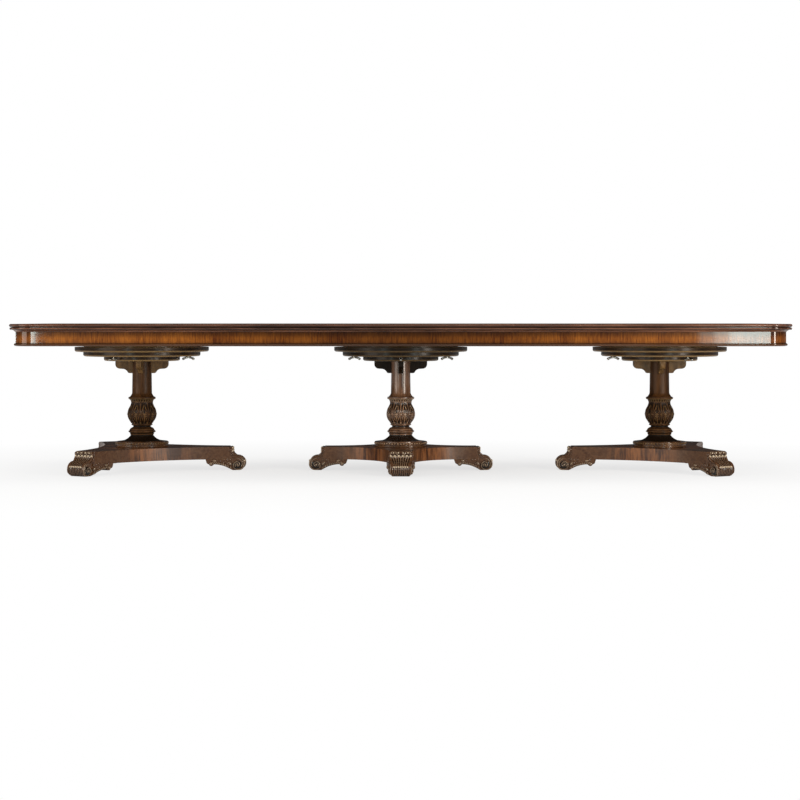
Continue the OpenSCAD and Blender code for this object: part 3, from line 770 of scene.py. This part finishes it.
# Makers of the finishes: by material slot, then those that some pieces have in place of their slot's
FINISH_MAKERS = {
    "top_veneer": mahogany_top,
    "crossband": crossband,
    "carcase": planed_wood,
    "pedestal_turning": dark_turning,
    "column_carving": shaded_side_column_carving,
    "flame_veneer": flame_veneer,
    "foot_carving": foot_carving,
    "steel": bright_steel,
    # The middle column's own finish: the column carving painted lighter, a lit copy
    "middle_column": lit_middle_column_carving,
    "brackets": bracket_wood,
    "plinth": plinth_wood,
}
FINISHES = {}


def dress(piece, slot, finish=None):
    """Give a piece the finish of a material slot, or a finish of its own."""
    piece.data.materials.clear()
    piece.data.materials.append(FINISHES[finish or slot])


# Column carving, with heights over the plinth, radii and widths in millimetres

# Bottom and top of the members that are carved
FLARE = (3.5, 34)
STACK = (34, 93)
BULB = (94, 202)
COLLAR = (204.5, 222.5)
SHAFT_START = 251
# Rings of the stack: the middle of each and half its height
RINGS = [(39, 3.5), (52, 4.8), (64, 5.5), (73, 1.2), (88, 3.7)]
# Leaves over and under the knobs: their reach, half their width, and how much narrower they end
UPPER_LEAF = (62, 21.5, 0)
LOWER_LEAF = (46, 22, 14)
LEAF_RIM = 1.9
KNOB = 5.5
BUD = 3.2
BEADING_RADIUS = 67.5
BEADING_HEIGHT = 223
# The plinth's pearls, in from its rim and down from its upper face
PEARLS_IN = 2.5
PEARLS_DOWN = 6


def bulb_relief(turn, z, look):
    """Depth and shine of acanthus rosettes: ribs spread up and down from knobs on the bulb's widest part."""
    pitch = look.leaf_pitch / MM
    across = ((turn + 0.5) % 1.0 - 0.5) * pitch
    up = z - look.knob_height / MM
    reach, width, taper = UPPER_LEAF if up > 0 else LOWER_LEAF
    share = min(1.0, abs(up) / reach)
    width = (width - taper * share ** 1.6) * (1 - 0.16 * abs(math.sin(9 * share)))
    if abs(across) > width:
        bud = ridge(pitch / 2 - abs(across), BUD) if up < 6 else 0.0
        # Ground between the leaves: painted shade, with the buds painted pale
        return look.leaf_depth * (0.6 * bud - 0.9), 0.08 + 0.75 * bud
    rib = 1 - wave(math.degrees(math.atan2(across, abs(up) + 5)) / look.rib_angle)
    rim = ridge(abs(across) - width, LEAF_RIM)
    knob = ridge(math.hypot(across, up), KNOB)
    tip = ease(share, 0.9, 1.0) if up < 0 else 0.0
    depth = rounded((across / width) ** 3) * (0.25 + 0.65 * rib) + 0.9 * knob + 0.9 * tip - 0.8
    # Painted highlight on the ribs, rims, knobs and tips, together with rubbed wear
    shine = 0.06 + 0.76 * rib * rib * (1 - 0.2 * share) + max(0.4 * rim, 0.3 * knob, 0.4 * tip)
    return look.leaf_depth * depth, shine


def column_points(base):
    """Half outline of the column over the plinth as (radius, height), and the height that it stands on."""
    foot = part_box("plinth_" + base.name)[1].z
    top = (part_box("lower_disc_" + base.name)[0].z - foot) / MM
    # Corners as radius, height, and rise of the arc to the next one
    corners = [
        (0, 0, 0), (112, 0, 0), (112, 3, 0), (110.5, 3, -7), (57.5, 34, 0), (60.5, 35.5, 2), (60.5, 42.5, 0),
        (62, 44.5, 0), (66.5, 47.5, 4), (66.5, 56.5, 0), (65, 58, 2.6), (51.5, 72.5, 0), (50, 74, -5),
        (50, 83, 0), (51.5, 84.5, 3.5), (51.5, 91.5, 0), (54.5, 96.5, 5.6), (75.5, 143.5, 2.6),
        (64, 181.5, -1), (56.5, 204.5, -2.2), (66.5, 222.5, 0), (70.5, 226.5, 0), (70.5, 230.5, 0),
        (62.5, 233.5, -1), (51.5, 251.5, 0), (50, 356, 0), (50, top, 0), (0, top, 0),
    ]
    points = []
    for i, (r, z, rise) in enumerate(corners):
        nr, nz, _ = corners[(i + 1) % len(corners)]
        plain = z > SHAFT_START or r == 0 or nr == 0
        points += arc((r * MM, z * MM), (nr * MM, nz * MM), rise * MM, 60 * MM if plain else 1.6 * MM)
    return points, foot


def within(z, member):
    """Whether a height lies in a member of the column."""
    return member[0] < z < member[1]


def faded(z, member, lower, upper):
    """1 in a member of the column, and easing to 0 over its last millimetres at each end."""
    return ease(z, member[0], member[0] + lower) * ease(member[1] - z, 0, upper)


def member_relief(turn, z, look):
    """Depth and shine of the column's carving at a turn from 0 to 1 and a height in millimetres."""
    # Shine is painted brightness: pale on crests for rubbed wear and painted highlight, dark in grooves for wax
    # and painted shade
    if within(z, BULB):
        depth, shine = bulb_relief(turn * look.leaves + 0.5, z, look)
        return depth * faded(z, BULB, 2, 6), shine
    if within(z, FLARE):
        reed = wave(turn * look.flutes)
        # Gadroons of the flare painted dark: painted shade under the table
        return look.flute_depth * (reed - 1) * faded(z, FLARE, 3.5, 3), 0.14 * reed
    if within(z, STACK):
        # The stack's rings are turned, not carved: painted highlight on their crests and painted shade between
        # them
        return 0.0, 0.1 + 0.58 * max(rounded((z - middle) / half) for middle, half in RINGS)
    if within(z, COLLAR):
        crown = rounded((COLLAR[1] - z) / (COLLAR[1] - COLLAR[0]))
        edge = ridge(arches(turn * look.arches) - crown, 0.28)
        # Arches: painted highlight on their edges, painted shade between them
        return look.arch_depth * (edge - 0.6) * faded(z, COLLAR, 2.5, 2), 0.15 + 0.75 * edge
    return 0.0, 0.5


def carve_column(piece, foot, look):
    """Move the column's corners in and out along the carved leaves, gadroons and arches."""
    relief = []
    for corner in piece.data.vertices:
        x, y, z = corner.co
        r = math.hypot(x, y)
        out, shine = member_relief(math.atan2(y, x) / math.tau, z / MM, look)
        if r > MM:
            corner.co = (x * (1 + out / r), y * (1 + out / r), z)
        relief.append(min(1.0, max(0.0, shine)))
    set_wear_and_painted_light(piece, relief)
    piece.data.transform(Matrix.Translation((0, 0, foot)))


def pearl_ring(radius, height, count, size, name):
    """Ring of carved pearls about the vertical axis."""
    pearl = bead(size, "pearl")
    turns = [Matrix.Rotation(math.tau * i / count, 4, "Z") @ Matrix.Translation((radius, 0, height))
             for i in range(count)]
    pearls = copied(pearl, turns, name)
    # Pearls painted pale: rubbed wear and painted highlight
    set_wear_and_painted_light(pearls, 0.82)
    smooth(pearls, 60)
    return pearls


def make_column(base, look):
    """One column, modelled on the pedestal's axis, with the fine beading under its collar."""
    points, foot = column_points(base)
    piece = spun(points, look.segments, "turned_column")
    carve_column(piece, foot, look)
    smooth(piece, 35)
    beading = pearl_ring(BEADING_RADIUS * MM, foot + BEADING_HEIGHT * MM, look.fine_pearls, look.fine_radius,
                         "beading")
    return joined([piece, beading], "column_carved_" + base.name)


def make_pearled_rim(base, look):
    """Pearls round the plinth, in the corner under its upper rim."""
    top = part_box("plinth_" + base.name)[1]
    radius = top.x - base.axis.x - PEARLS_IN * MM
    return pearl_ring(radius, top.z - PEARLS_DOWN * MM, look.pearls, look.pearl_radius,
                      "pearled_rim_" + base.name)


# Foot carving, with u outwards from the arm's end and z up from the floor

# Underside: where it starts on the arm, the heel, the curled pendant and the flat under the scroll
FOOT_IN = 119 * MM
HEEL_RUN = 4 * MM
HEEL_DROP = 14 * MM
PENDANT_IN = 92 * MM
PENDANT_Z = 32 * MM
PENDANT_RUN = 10 * MM
CURL = 13 * MM
FLAT_IN = 26 * MM
FLAT_OUT = 8 * MM
# Scroll: its eye, its growth in each quarter turn up the front, and its shrinking along the volute
EYE = (44 * MM, 28.5 * MM)
SCROLL_GROW = 9 * MM
VOLUTE_SHRINK = 4.6 * MM
ROLL_LOW_ANGLE = -62
ROLL_TOP_ANGLE = 30
FAN_TOP_ANGLE = 93
# Front over the scroll: the neck, the ankle and the leaf that caps it
NECK = (36 * MM, 75.5 * MM)
ANKLE_OUT = 16 * MM
ANKLE_UP = 42 * MM
LEAF_OUT = 18 * MM
LEAF_EDGE = 8 * MM
LEAF_DOWN = 5 * MM
# Half widths of the arm's end, of the leaf, of the scroll and of the hollow below, up to its height
ARM_HALF = 60 * MM
LEAF_HALF = 55 * MM
SCROLL_HALF = 51 * MM
TUCK_HALF = 40 * MM
TUCK_Z = 26 * MM
# Where, outwards from the arm's end, the foot narrows to the leaf, to the scroll and into the hollow
LEAF_RUN = (0, 10 * MM)
SCROLL_RUN = (12 * MM, 40 * MM)
TUCK_RUN = (4 * MM, 24 * MM)
# Raised straps: distance in from the outline, share of the full radius, and the angle where the volute ends
STRAPS = [(3.6 * MM, 1.0, -480), (12.8 * MM, 0.7, -300)]
VOLUTE_GROUND = 21 * MM
# The straps are painted palest, rubbed wear and painted highlight, below this height and further out than this,
# round the scroll
STRAP_PALEST_UNDER = 62 * MM
STRAP_PALEST_OUT = 10 * MM
# Spacing of the outline's points, in metres and degrees
FINE_STEP = 2 * MM
COARSE_STEP = 8 * MM
ANGLE_STEP = 3


def scroll_point(degrees, less=0.0):
    """Point on the scroll's rim, or less inside it: -90 is down, 0 outwards, and the volute winds on."""
    grow = SCROLL_GROW if degrees > -90 else VOLUTE_SHRINK
    radius = EYE[1] + grow * (degrees + 90) / 90 - less
    angle = math.radians(degrees)
    return (EYE[0] + radius * math.cos(angle), EYE[1] + radius * math.sin(angle))


class FootSide:
    """Side outline of a foot, and the part that each point is on: under, roll, fan, leaf or wall."""

    def __init__(self, base):
        self.base = base
        low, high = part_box("platform_" + base.name)
        self.leaf_top = high.z - LEAF_DOWN
        self.points = []
        self.parts = []
        inner, wall = (-FOOT_IN, low.z), (0, low.z)
        heel = (HEEL_RUN - FOOT_IN, low.z - HEEL_DROP)
        pendant = (-PENDANT_IN - PENDANT_RUN, PENDANT_Z + MM)
        curl = (CURL - PENDANT_IN, PENDANT_Z)
        flat_in, flat_out = (EYE[0] - FLAT_IN, 0), (EYE[0] + FLAT_OUT, 0)
        ankle = (ANKLE_OUT, low.z + ANKLE_UP)
        leaf = (LEAF_OUT, low.z + ANKLE_UP + LEAF_EDGE)
        leaf_top = (0, self.leaf_top)
        self.take("under", arc(inner, heel, 0, FINE_STEP))
        self.take("under", arc(heel, pendant, 3 * MM, FINE_STEP))
        self.take("under", arc(pendant, curl, 9 * MM, FINE_STEP))
        self.take("under", arc(curl, flat_in, -8 * MM, FINE_STEP))
        self.take("under", arc(flat_in, flat_out, 0, 4 * MM))
        self.take("roll", [scroll_point(a) for a in range(ROLL_LOW_ANGLE, ROLL_TOP_ANGLE, ANGLE_STEP)])
        self.take("fan", [scroll_point(a) for a in range(ROLL_TOP_ANGLE, FAN_TOP_ANGLE, ANGLE_STEP)])
        self.take("fan", arc(NECK, ankle, -3 * MM, FINE_STEP))
        self.take("leaf", arc(ankle, leaf, -MM, FINE_STEP))
        self.take("leaf", arc(leaf, leaf_top, LEAF_EDGE, FINE_STEP))
        self.take("wall", arc(leaf_top, wall, 0, COARSE_STEP))
        self.take("wall", arc(wall, inner, 0, COARSE_STEP))
        self.normals = outward(self.points)

    def take(self, part, points):
        """Add points that lie on one part of the outline."""
        self.points += points
        self.parts += [part] * len(points)

    def half(self, u, z):
        """Half width of the foot: the platform's own plan, then the narrower leaf and scroll."""
        along, across, radius = self.base.hollow
        if u <= 0:
            return across - math.sqrt(radius ** 2 - (along - self.base.arm - u) ** 2)
        width = ARM_HALF + (LEAF_HALF - ARM_HALF) * ease(u, *LEAF_RUN)
        width += (SCROLL_HALF - LEAF_HALF) * ease(u, *SCROLL_RUN)
        tucked = TUCK_HALF + (LEAF_HALF - MM - TUCK_HALF) * z / TUCK_Z
        return width - max(0.0, width - tucked) * ease(u, *TUCK_RUN)

    def front_share(self, index, part):
        """How far along its part an outline point lies, from 0 to 1."""
        first = self.parts.index(part)
        return (index - first) / max(1, self.parts.count(part) - 1)


def front_relief(part, share, across, look):
    """Depth and shine of the front at a share along its part and a place across the foot, from -1 to 1.

    The carving of each part reaches to a share of the foot's half width, and the rest is plain.
    """
    edge = {"roll": 0.9, "fan": 0.7 + 0.26 * share, "leaf": 0.96}.get(part, -1.0)
    if abs(across) > edge:
        return 0.0, 0.5
    spread = (across / edge + 1) / 2
    if part == "roll":
        reed = wave(spread * look.reeds)
        fade = ease(share, 0.0, 0.12) * ease(1 - share, 0.0, 0.06)
        # Reeds: painted highlight on their crowns and painted shade between them
        return look.depth * (reed - 1) * fade, 0.02 + 0.68 * reed
    if part == "fan":
        flute = wave(spread * look.fan) * ease(share, 0.04, 0.12) * ease(1 - share, 0.03, 0.1)
        # Fan: painted shade in the flutes, paler between them
        return -look.depth * flute, 0.78 - 0.76 * flute ** 0.7
    crown = 0.85 * rounded(arches(spread * look.knuckles))
    rim = ridge(share - crown, 0.13)
    inner = 0.5 * ridge(share - 0.55 * crown, 0.1)
    fade = math.sin(math.pi * min(1.0, 0.1 + share))
    # Leaf: painted highlight on its rims and painted shade in its hollows
    return look.depth * (rim + inner - 0.8) * fade, 0.2 + 0.7 * rim + 0.3 * inner


def foot_block(side, look):
    """Solid of a foot: its side outline extruded across in slices, then carved along its front."""
    piece = add_ring([(u, -1, z) for u, z in side.points], "foot_block")
    piece.data.attributes.new("outline", "INT", "POINT").data.foreach_set("value", range(len(side.points)))
    make_active(piece)
    bpy.ops.object.mode_set(mode="EDIT")
    bpy.ops.mesh.select_all(action="SELECT")
    bpy.ops.mesh.edge_face_add()
    for _ in range(look.slices):
        bpy.ops.mesh.extrude_region_move(TRANSFORM_OT_translate={"value": (0, 2 / look.slices, 0)})
    bpy.ops.mesh.select_all(action="SELECT")
    bpy.ops.mesh.normals_make_consistent(inside=False)
    bpy.ops.object.mode_set(mode="OBJECT")
    relief = []
    indices = [item.value for item in piece.data.attributes["outline"].data]
    for corner, index in zip(piece.data.vertices, indices):
        u, across, z = corner.co
        part = side.parts[index]
        out, shine = front_relief(part, side.front_share(index, part), across, look)
        nu, nz = side.normals[index]
        corner.co = (u + nu * out, across * side.half(u, z), max(0.0, z + nz * out))
        relief.append(min(1.0, max(0.0, shine)))
    piece.data.attributes.remove(piece.data.attributes["outline"])
    set_wear_and_painted_light(piece, relief)
    smooth(piece, 38)
    return piece


def strap_path(side, inset, last_angle):
    """Way of a raised strap inside the outline, from the leaf down the front and round into the volute."""
    front = [i for i, part in enumerate(side.parts) if part in ("fan", "leaf")]
    path = []
    for i in reversed(front):
        (u, z), (nu, nz) = side.points[i], side.normals[i]
        path.append((u - nu * inset, z - nz * inset))
    path += [scroll_point(a, inset) for a in range(ROLL_TOP_ANGLE - ANGLE_STEP, last_angle, -2 * ANGLE_STEP)]
    return path


def strap_shine(co):
    """Painted brightness of the straps: rubbed wear and painted highlight most round the scroll, less beside the
    fan, and painted shade on the volute's sunk ground.
    """
    if abs(co.y) < SCROLL_HALF + 1.6 * MM and math.hypot(co.x - EYE[0], co.z - EYE[1]) < VOLUTE_GROUND + MM:
        return 0.05
    return 0.7 if co.z < STRAP_PALEST_UNDER and co.x > STRAP_PALEST_OUT else 0.6


def foot_straps(side, look):
    """Double strap and volute on both sides of a foot."""
    parts = []
    for inset, share, last_angle in STRAPS:
        radius = share * look.strap
        path = strap_path(side, inset, last_angle)
        radii = [radius * (1 - 0.4 * ease(i / len(path), 0.75, 1)) for i in range(len(path))]
        radii[0] = radius * 0.6
        for hand in (-1, 1):
            points = [(u, hand * (side.half(max(u, MM), z) + 0.4 * MM), max(z, radius)) for u, z in path]
            parts.append(tube(points, radii, "strap"))
    # Flat pearls: name, radius, squash, and place outwards, across and up
    buttons = [("eye", 5.5 * MM, 0.8, EYE[0], SCROLL_HALF + MM, EYE[1]),
               ("knob", 6.2 * MM, 0.8, 9 * MM, LEAF_HALF + 0.5 * MM, side.leaf_top - 9 * MM),
               ("ground", VOLUTE_GROUND, 0.06, EYE[0], SCROLL_HALF + 0.2 * MM, EYE[1] + MM)]
    for hand in (-1, 1):
        for name, radius, squash, u, across, z in buttons:
            button = bead(radius, name, squash)
            button.data.transform(Matrix.Translation((u, hand * across, z)))
            parts.append(button)
    straps = joined(parts, "straps")
    set_wear_and_painted_light(straps, [strap_shine(v.co) for v in straps.data.vertices])
    smooth(straps, 60)
    return straps


def leaf_lobes(look):
    """Lobes on one side of a foot: name, place outwards and up, turn, shape and size."""
    lobes = []
    start, end = (EYE[0] - 38 * MM, 17 * MM), (CURL - PENDANT_IN - 4 * MM, PENDANT_Z + 9 * MM)
    for i in range(look.lobes):
        share = i / (look.lobes - 1)
        u = start[0] + (end[0] - start[0]) * share
        z = start[1] + (end[1] - start[1]) * share ** 0.8 + 3 * MM * math.sin(math.pi * share)
        lobes.append(("lobe", u, z, 62 - 18 * share, (1.1, 0.5, 0.36), 10 * MM))
        lobes.append(("vein", u - 4 * MM, z + 14 * MM, 74, (1.1, 0.35, 0.3), 7.5 * MM))
    lobes.append(("pendant", -PENDANT_IN - MM, PENDANT_Z + 3 * MM, 0, (1, 0.75, 1), 9.5 * MM))
    lobes.append(("sheath", CURL - PENDANT_IN, PENDANT_Z + 20 * MM, 12, (1.6, 0.4, 0.6), 11 * MM))
    lobes.append(("big_lobe", 3 * MM, 38 * MM, 40, (1.1, 0.45, 0.4), 13 * MM))
    for i in range(look.knuckles):
        lobes.append(("oval", 6 * MM - 15 * i * MM, 55 * MM, 0, (0.6, 0.4, 1.1), 7 * MM))
    return lobes


def foot_leaves(side, look):
    """Acanthus lobes along a foot's lower edge, back to the curled pendant, and ovals over the ankle."""
    parts = []
    for hand in (-1, 1):
        for name, u, z, turn, shape, size in leaf_lobes(look):
            lobe = bead(size, name)
            place = Matrix.Translation((u, hand * side.half(u, z), z))
            turned = Matrix.Rotation(math.radians(turn), 4, "Y")
            lobe.data.transform(place @ turned @ Matrix.Diagonal((*shape, 1)))
            parts.append(lobe)
    leaves = joined(parts, "leaves")
    # Painted shade where the lobes meet the foot, paler out on their faces
    set_wear_and_painted_light(leaves, [min(0.7, 0.1 + max(0.0, abs(v.co.y) - side.half(v.co.x, v.co.z)) / (6 * MM))
                        for v in leaves.data.vertices])
    smooth(leaves, 60)
    return leaves


def foot_pearls(side, look):
    """Three rows of pearls across the front: on the leaf, over the fan, and between the fan and the roll."""
    parts = []
    first = side.parts.index("leaf")
    # Place outwards and up, half the row's length, number of pearls and their radius
    rows = [(side.points[first + side.parts.count("leaf") // 2], 36 * MM, look.pearls - 2, 3.6 * MM),
            (side.points[first], 50 * MM, look.pearls, 4.8 * MM),
            (scroll_point(ROLL_TOP_ANGLE), 34 * MM, look.pearls + 1, 4.0 * MM)]
    for (u, z), reach, count, size in rows:
        pearl = bead(size, "pearl")
        steps = [Matrix.Translation((u, reach * (2 * i / (count - 1) - 1), z)) for i in range(count)]
        parts.append(copied(pearl, steps, "pearl_row"))
    pearls = joined(parts, "pearls")
    # Pearls painted palest: rubbed wear and painted highlight
    set_wear_and_painted_light(pearls, 1.0)
    smooth(pearls, 60)
    return pearls


def make_foot(base, look):
    """One carved foot, on an arm along +X from the pedestal's axis."""
    side = FootSide(base)
    makers = (foot_block, foot_straps, foot_leaves, foot_pearls)
    foot = joined([make(side, look) for make in makers], "carved_foot")
    foot.data.transform(Matrix.Translation((base.arm, 0, 0)))
    return foot


# Wing screws

# The wings leave the hub this far down, and their tips' middles lie this far over the lowest point
WING_ROOT = 6.8 * MM
TIP_RISE = 6.7 * MM
WING_STEPS = 12


def wing_line(look, hand):
    """Middle line of one drooping wing, and its radius at each point."""
    inner, outer = look.hub * 0.5, look.span / 2 - 3 * MM
    path, radii = [], []
    for i in range(WING_STEPS + 1):
        share = i / WING_STEPS
        fall = (look.drop - TIP_RISE - WING_ROOT) * share ** 1.6
        path.append((hand * (inner + (outer - inner) * share), 0, -WING_ROOT - fall))
        radii.append(look.wing / 2 * (1.15 - 0.15 * math.sin(math.pi * share) + 0.2 * share ** 4))
    return path, radii


def make_wing_screw(look):
    """Steel wing screw with drooping round-tipped wings; its origin is on the disc's underside."""
    hub = rod("hub", 40, look.hub, 0, -look.hub_height)
    make_active(hub)
    bevel = hub.modifiers.new("Bevel", "BEVEL")
    bevel.width = 1.2 * MM
    bevel.segments = 3
    bpy.ops.object.modifier_apply(modifier=bevel.name)
    parts = [hub]
    for hand in (-1, 1):
        path, radii = wing_line(look, hand)
        wing = tube(path, radii, "wing", 14)
        tip = bead(look.wing * 0.66, "tip")
        tip.data.transform(Matrix.Translation(path[-1]))
        parts += [wing, tip]
    parts.append(rod("shank", 24, look.shank, look.shank_length, 0))
    screw = joined(parts, "wing_screw")
    smooth(screw, 40)
    return screw


# Operators

class TABLE_OT_studio(bpy.types.Operator):
    """Set up the camera, lamps, pale ground and white background"""
    bl_idname = "table.studio"
    bl_label = "Set Up Studio"

    def execute(self, context):
        look = context.scene.table_studio
        self.camera(context, look)
        self.ground(look)
        self.background(context.scene, look)
        for lamp in self.lamps(look):
            self.softbox(*lamp)
        context.scene.view_settings.view_transform = "Standard"
        return {"FINISHED"}

    def camera(self, context, look):
        """Level camera whose shift brings the table line to its place in the picture."""
        clear_selection()
        bpy.ops.object.camera_add(location=(0, -look.camera_distance, look.camera_height),
                                  rotation=(math.pi / 2, 0, 0))
        camera = take("studio_camera")
        camera.data.lens = look.lens
        camera.data.shift_x = -look.table_offset / IMAGE_SIDE
        camera.data.shift_y = (look.table_line - IMAGE_SIDE / 2) / IMAGE_SIDE
        context.scene.camera = camera

    def ground(self, look):
        """Floor that keeps the table's shadow near it and fades into white paper all round."""
        clear_selection()
        bpy.ops.mesh.primitive_plane_add(size=60)
        floor = take("studio_floor")
        material, tree, place = new_finish("pale_paper")
        paper = put(tree, "BsdfDiffuse", {"Color": (*look.ground_colour, 1)})
        glow = put(tree, "Emission", {"Color": WHITE, "Strength": 1.0})
        ray = put(tree, "LightPath")
        seen = put(tree, "Math", {0: (ray, "Is Camera Ray"), 1: (ray, "Is Transmission Ray")},
                   operation="MAXIMUM")
        reach = put(tree, "Mapping", {"Vector": (place, "Object"),
                                      "Scale": (1 / look.shadow_length, 1 / look.shadow_width, 1)})
        away = put(tree, "VectorMath", {0: (reach, "Vector")}, operation="LENGTH")
        fade = put(tree, "MapRange", {"Value": (away, "Value"), "From Min": 0.15, "From Max": 1.15,
                                      "To Min": look.ground_share, "To Max": 1.0})
        part = put(tree, "Math", {0: (seen, "Value"), 1: (fade, "Result")}, operation="MULTIPLY")
        both = put(tree, "MixShader", {"Fac": (part, "Value"), 1: (paper, "BSDF"), 2: (glow, "Emission")})
        put(tree, "OutputMaterial", {"Surface": (both, "Shader")})
        floor.data.materials.append(material)

    def background(self, scene, look):
        """White behind the table, a dim share of it in polished faces, and grey as fill light."""
        world = bpy.data.worlds.new("white_studio")
        scene.world = world
        world.use_nodes = True
        tree = world.node_tree
        tree.nodes.clear()
        ray = put(tree, "LightPath")
        shiny = put(tree, "Math", {0: (ray, "Is Glossy Ray"), 1: look.glossy_white}, operation="MULTIPLY")
        seen = put(tree, "Math", {0: (ray, "Is Camera Ray"), 1: (ray, "Is Transmission Ray")},
                   operation="MAXIMUM")
        white = put(tree, "Math", {0: (seen, "Value"), 1: (shiny, "Value")}, operation="MAXIMUM")
        fill = put(tree, "Math", {0: (ray, "Is Diffuse Ray"), 1: look.fill}, operation="MULTIPLY")
        tone = put(tree, "Math", {0: (white, "Value"), 1: (fill, "Value")}, operation="MAXIMUM")
        sky = put(tree, "Background", {"Color": WHITE, "Strength": (tone, "Value")})
        put(tree, "OutputWorld", {"Surface": (sky, "Background")})

    def lamps(self, look):
        """Softboxes and cards: name, place, point aimed at, width, height, power, colour."""
        warm, cool = look.warm_light, look.cool_light
        return [
            ("key_strip", (5.8, -5.7, 1.9), (0.0, 0, 1.0), 1.0, 3.6, 390, warm),
            ("window_softbox", (-7.6, -4.6, 2.1), (-0.2, 0, 0.9), 4.4, 4.0, 330, warm),
            ("front_softbox", (0.0, -5.6, 4.0), (0, 0, 0.5), 4.0, 2.2, 60, warm),
            ("top_softbox", (0.0, 0.5, 4.2), (0, 0, 0.7), 4.0, 2.0, 50, warm),
            ("right_card", (2.58, -5.2, 0.8), (2.58, 0, 0.8), 0.33, 1.0, 24, cool),
            ("right_card_edge", (2.36, -5.2, 0.8), (2.36, 0, 0.8), 0.11, 1.0, 4, cool),
            ("right_card_fade", (2.25, -5.2, 0.8), (2.25, 0, 0.8), 0.11, 1.0, 1.6, cool),
            ("left_card", (-2.84, -5.2, 0.8), (-2.84, 0, 0.8), 0.3, 1.0, 22, cool),
        ]

    def softbox(self, name, place, aim, width, height, power, colour):
        """Rectangular area lamp that faces a point."""
        clear_selection()
        bpy.ops.object.light_add(type="AREA", location=place)
        lamp = take(name)
        lamp.rotation_euler = (Vector(aim) - Vector(place)).to_track_quat("-Z", "Y").to_euler()
        lamp.data.shape = "RECTANGLE"
        lamp.data.size = width
        lamp.data.size_y = height
        lamp.data.energy = power
        lamp.data.color = colour


class TABLE_OT_finishes(bpy.types.Operator):
    """Make the wood and steel finishes and put them on the plain pieces"""
    bl_idname = "table.finishes"
    bl_label = "Apply Finishes"

    def execute(self, context):
        for name, make in FINISH_MAKERS.items():
            FINISHES[name] = make(context.scene.table_finish)
        slots = {part["node"]: part["material_slot"] for part in frame["record"]["subparts"]}
        for name, node in frame["nodes"].items():
            own = FINISHES.get(name.split("_")[0])
            node.data.materials.clear()
            node.data.materials.append(own or FINISHES[slots[name]])
        return {"FINISHED"}


class TABLE_OT_columns(bpy.types.Operator):
    """Turn and carve the three columns with their beaded rings"""
    bl_idname = "table.columns"
    bl_label = "Carve Columns"

    def execute(self, context):
        look = context.scene.table_column
        for base in BASES:
            column = make_column(base, look)
            rim = make_pearled_rim(base, look)
            for piece in (column, rim):
                piece.data.transform(Matrix.Translation((base.axis.x, base.axis.y, 0)))
                # The middle column gets the lit copy of the column carving's colours
                dress(piece, "column_carving", "middle_column" if base.name == "centre" else None)
                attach(piece, base.body)
            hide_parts("column_" + base.name)
        return {"FINISHED"}


class TABLE_OT_feet(bpy.types.Operator):
    """Carve the scroll feet and put one on every arm"""
    bl_idname = "table.feet"
    bl_label = "Carve Feet"

    def execute(self, context):
        look = context.scene.table_foot
        for base in BASES:
            master = make_foot(base, look)
            for index, end in enumerate(base.ends):
                name = f"{base.name}_{end}"
                foot = copied(master, [base.place(index)], "carved_foot_" + name, keep_first=True)
                dress(foot, "foot_carving")
                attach(foot, base.body)
                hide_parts("foot_" + name)
            bpy.data.objects.remove(master)
        return {"FINISHED"}


class TABLE_OT_wing_screws(bpy.types.Operator):
    """Make the steel wing screws and hang one under each hole of the middle discs"""
    bl_idname = "table.wing_screws"
    bl_label = "Make Wing Screws"

    def execute(self, context):
        master = make_wing_screw(context.scene.table_screw)
        for base in BASES:
            for end in base.ends:
                name = f"wing_screw_{base.name}_{end}"
                joint = next(j for j in frame["joints"] if j["child"] == name)
                place = Vector(joint["pos_m"])
                way = math.atan2(place.y - base.axis.y, place.x - base.axis.x)
                put_there = Matrix.Translation(place) @ Matrix.Rotation(way, 4, "Z")
                screw = copied(master, [put_there], "steel_" + name, keep_first=True)
                dress(screw, "steel")
                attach(screw, name)
                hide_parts(name)
        bpy.data.objects.remove(master)
        return {"FINISHED"}


class TABLE_PT_panel(bpy.types.Panel):
    """Lists the table's operators and sizes"""
    bl_idname = "TABLE_PT_panel"
    bl_label = "Pedestal Table"
    bl_space_type = "VIEW_3D"
    bl_region_type = "UI"
    bl_category = "Table"

    def draw(self, context):
        for operator in OPERATORS:
            self.layout.operator(operator.bl_idname)
        for group in SETTINGS:
            box = self.layout.box()
            settings = getattr(context.scene, group)
            for name in settings.bl_rna.properties.keys():
                if name not in ("rna_type", "name"):
                    box.prop(settings, name)


SETTINGS = {
    "table_studio": TableStudioSettings,
    "table_column": TableColumnSettings,
    "table_foot": TableFootSettings,
    "table_screw": TableScrewSettings,
    "table_finish": TableFinishSettings,
}
OPERATORS = [TABLE_OT_studio, TABLE_OT_finishes, TABLE_OT_columns, TABLE_OT_feet, TABLE_OT_wing_screws]


def register():
    for name, group in SETTINGS.items():
        bpy.utils.register_class(group)
        setattr(bpy.types.Scene, name, bpy.props.PointerProperty(type=group))
    for operator in OPERATORS:
        bpy.utils.register_class(operator)
    bpy.utils.register_class(TABLE_PT_panel)


def unregister():
    bpy.utils.unregister_class(TABLE_PT_panel)
    for operator in reversed(OPERATORS):
        bpy.utils.unregister_class(operator)
    for name, group in SETTINGS.items():
        delattr(bpy.types.Scene, name)
        bpy.utils.unregister_class(group)


def main():
    """Build the studio and the table."""
    register()
    bpy.ops.table.studio()
    bpy.ops.table.finishes()
    bpy.ops.table.columns()
    bpy.ops.table.feet()
    bpy.ops.table.wing_screws()


if __name__ == "__main__":
    main()
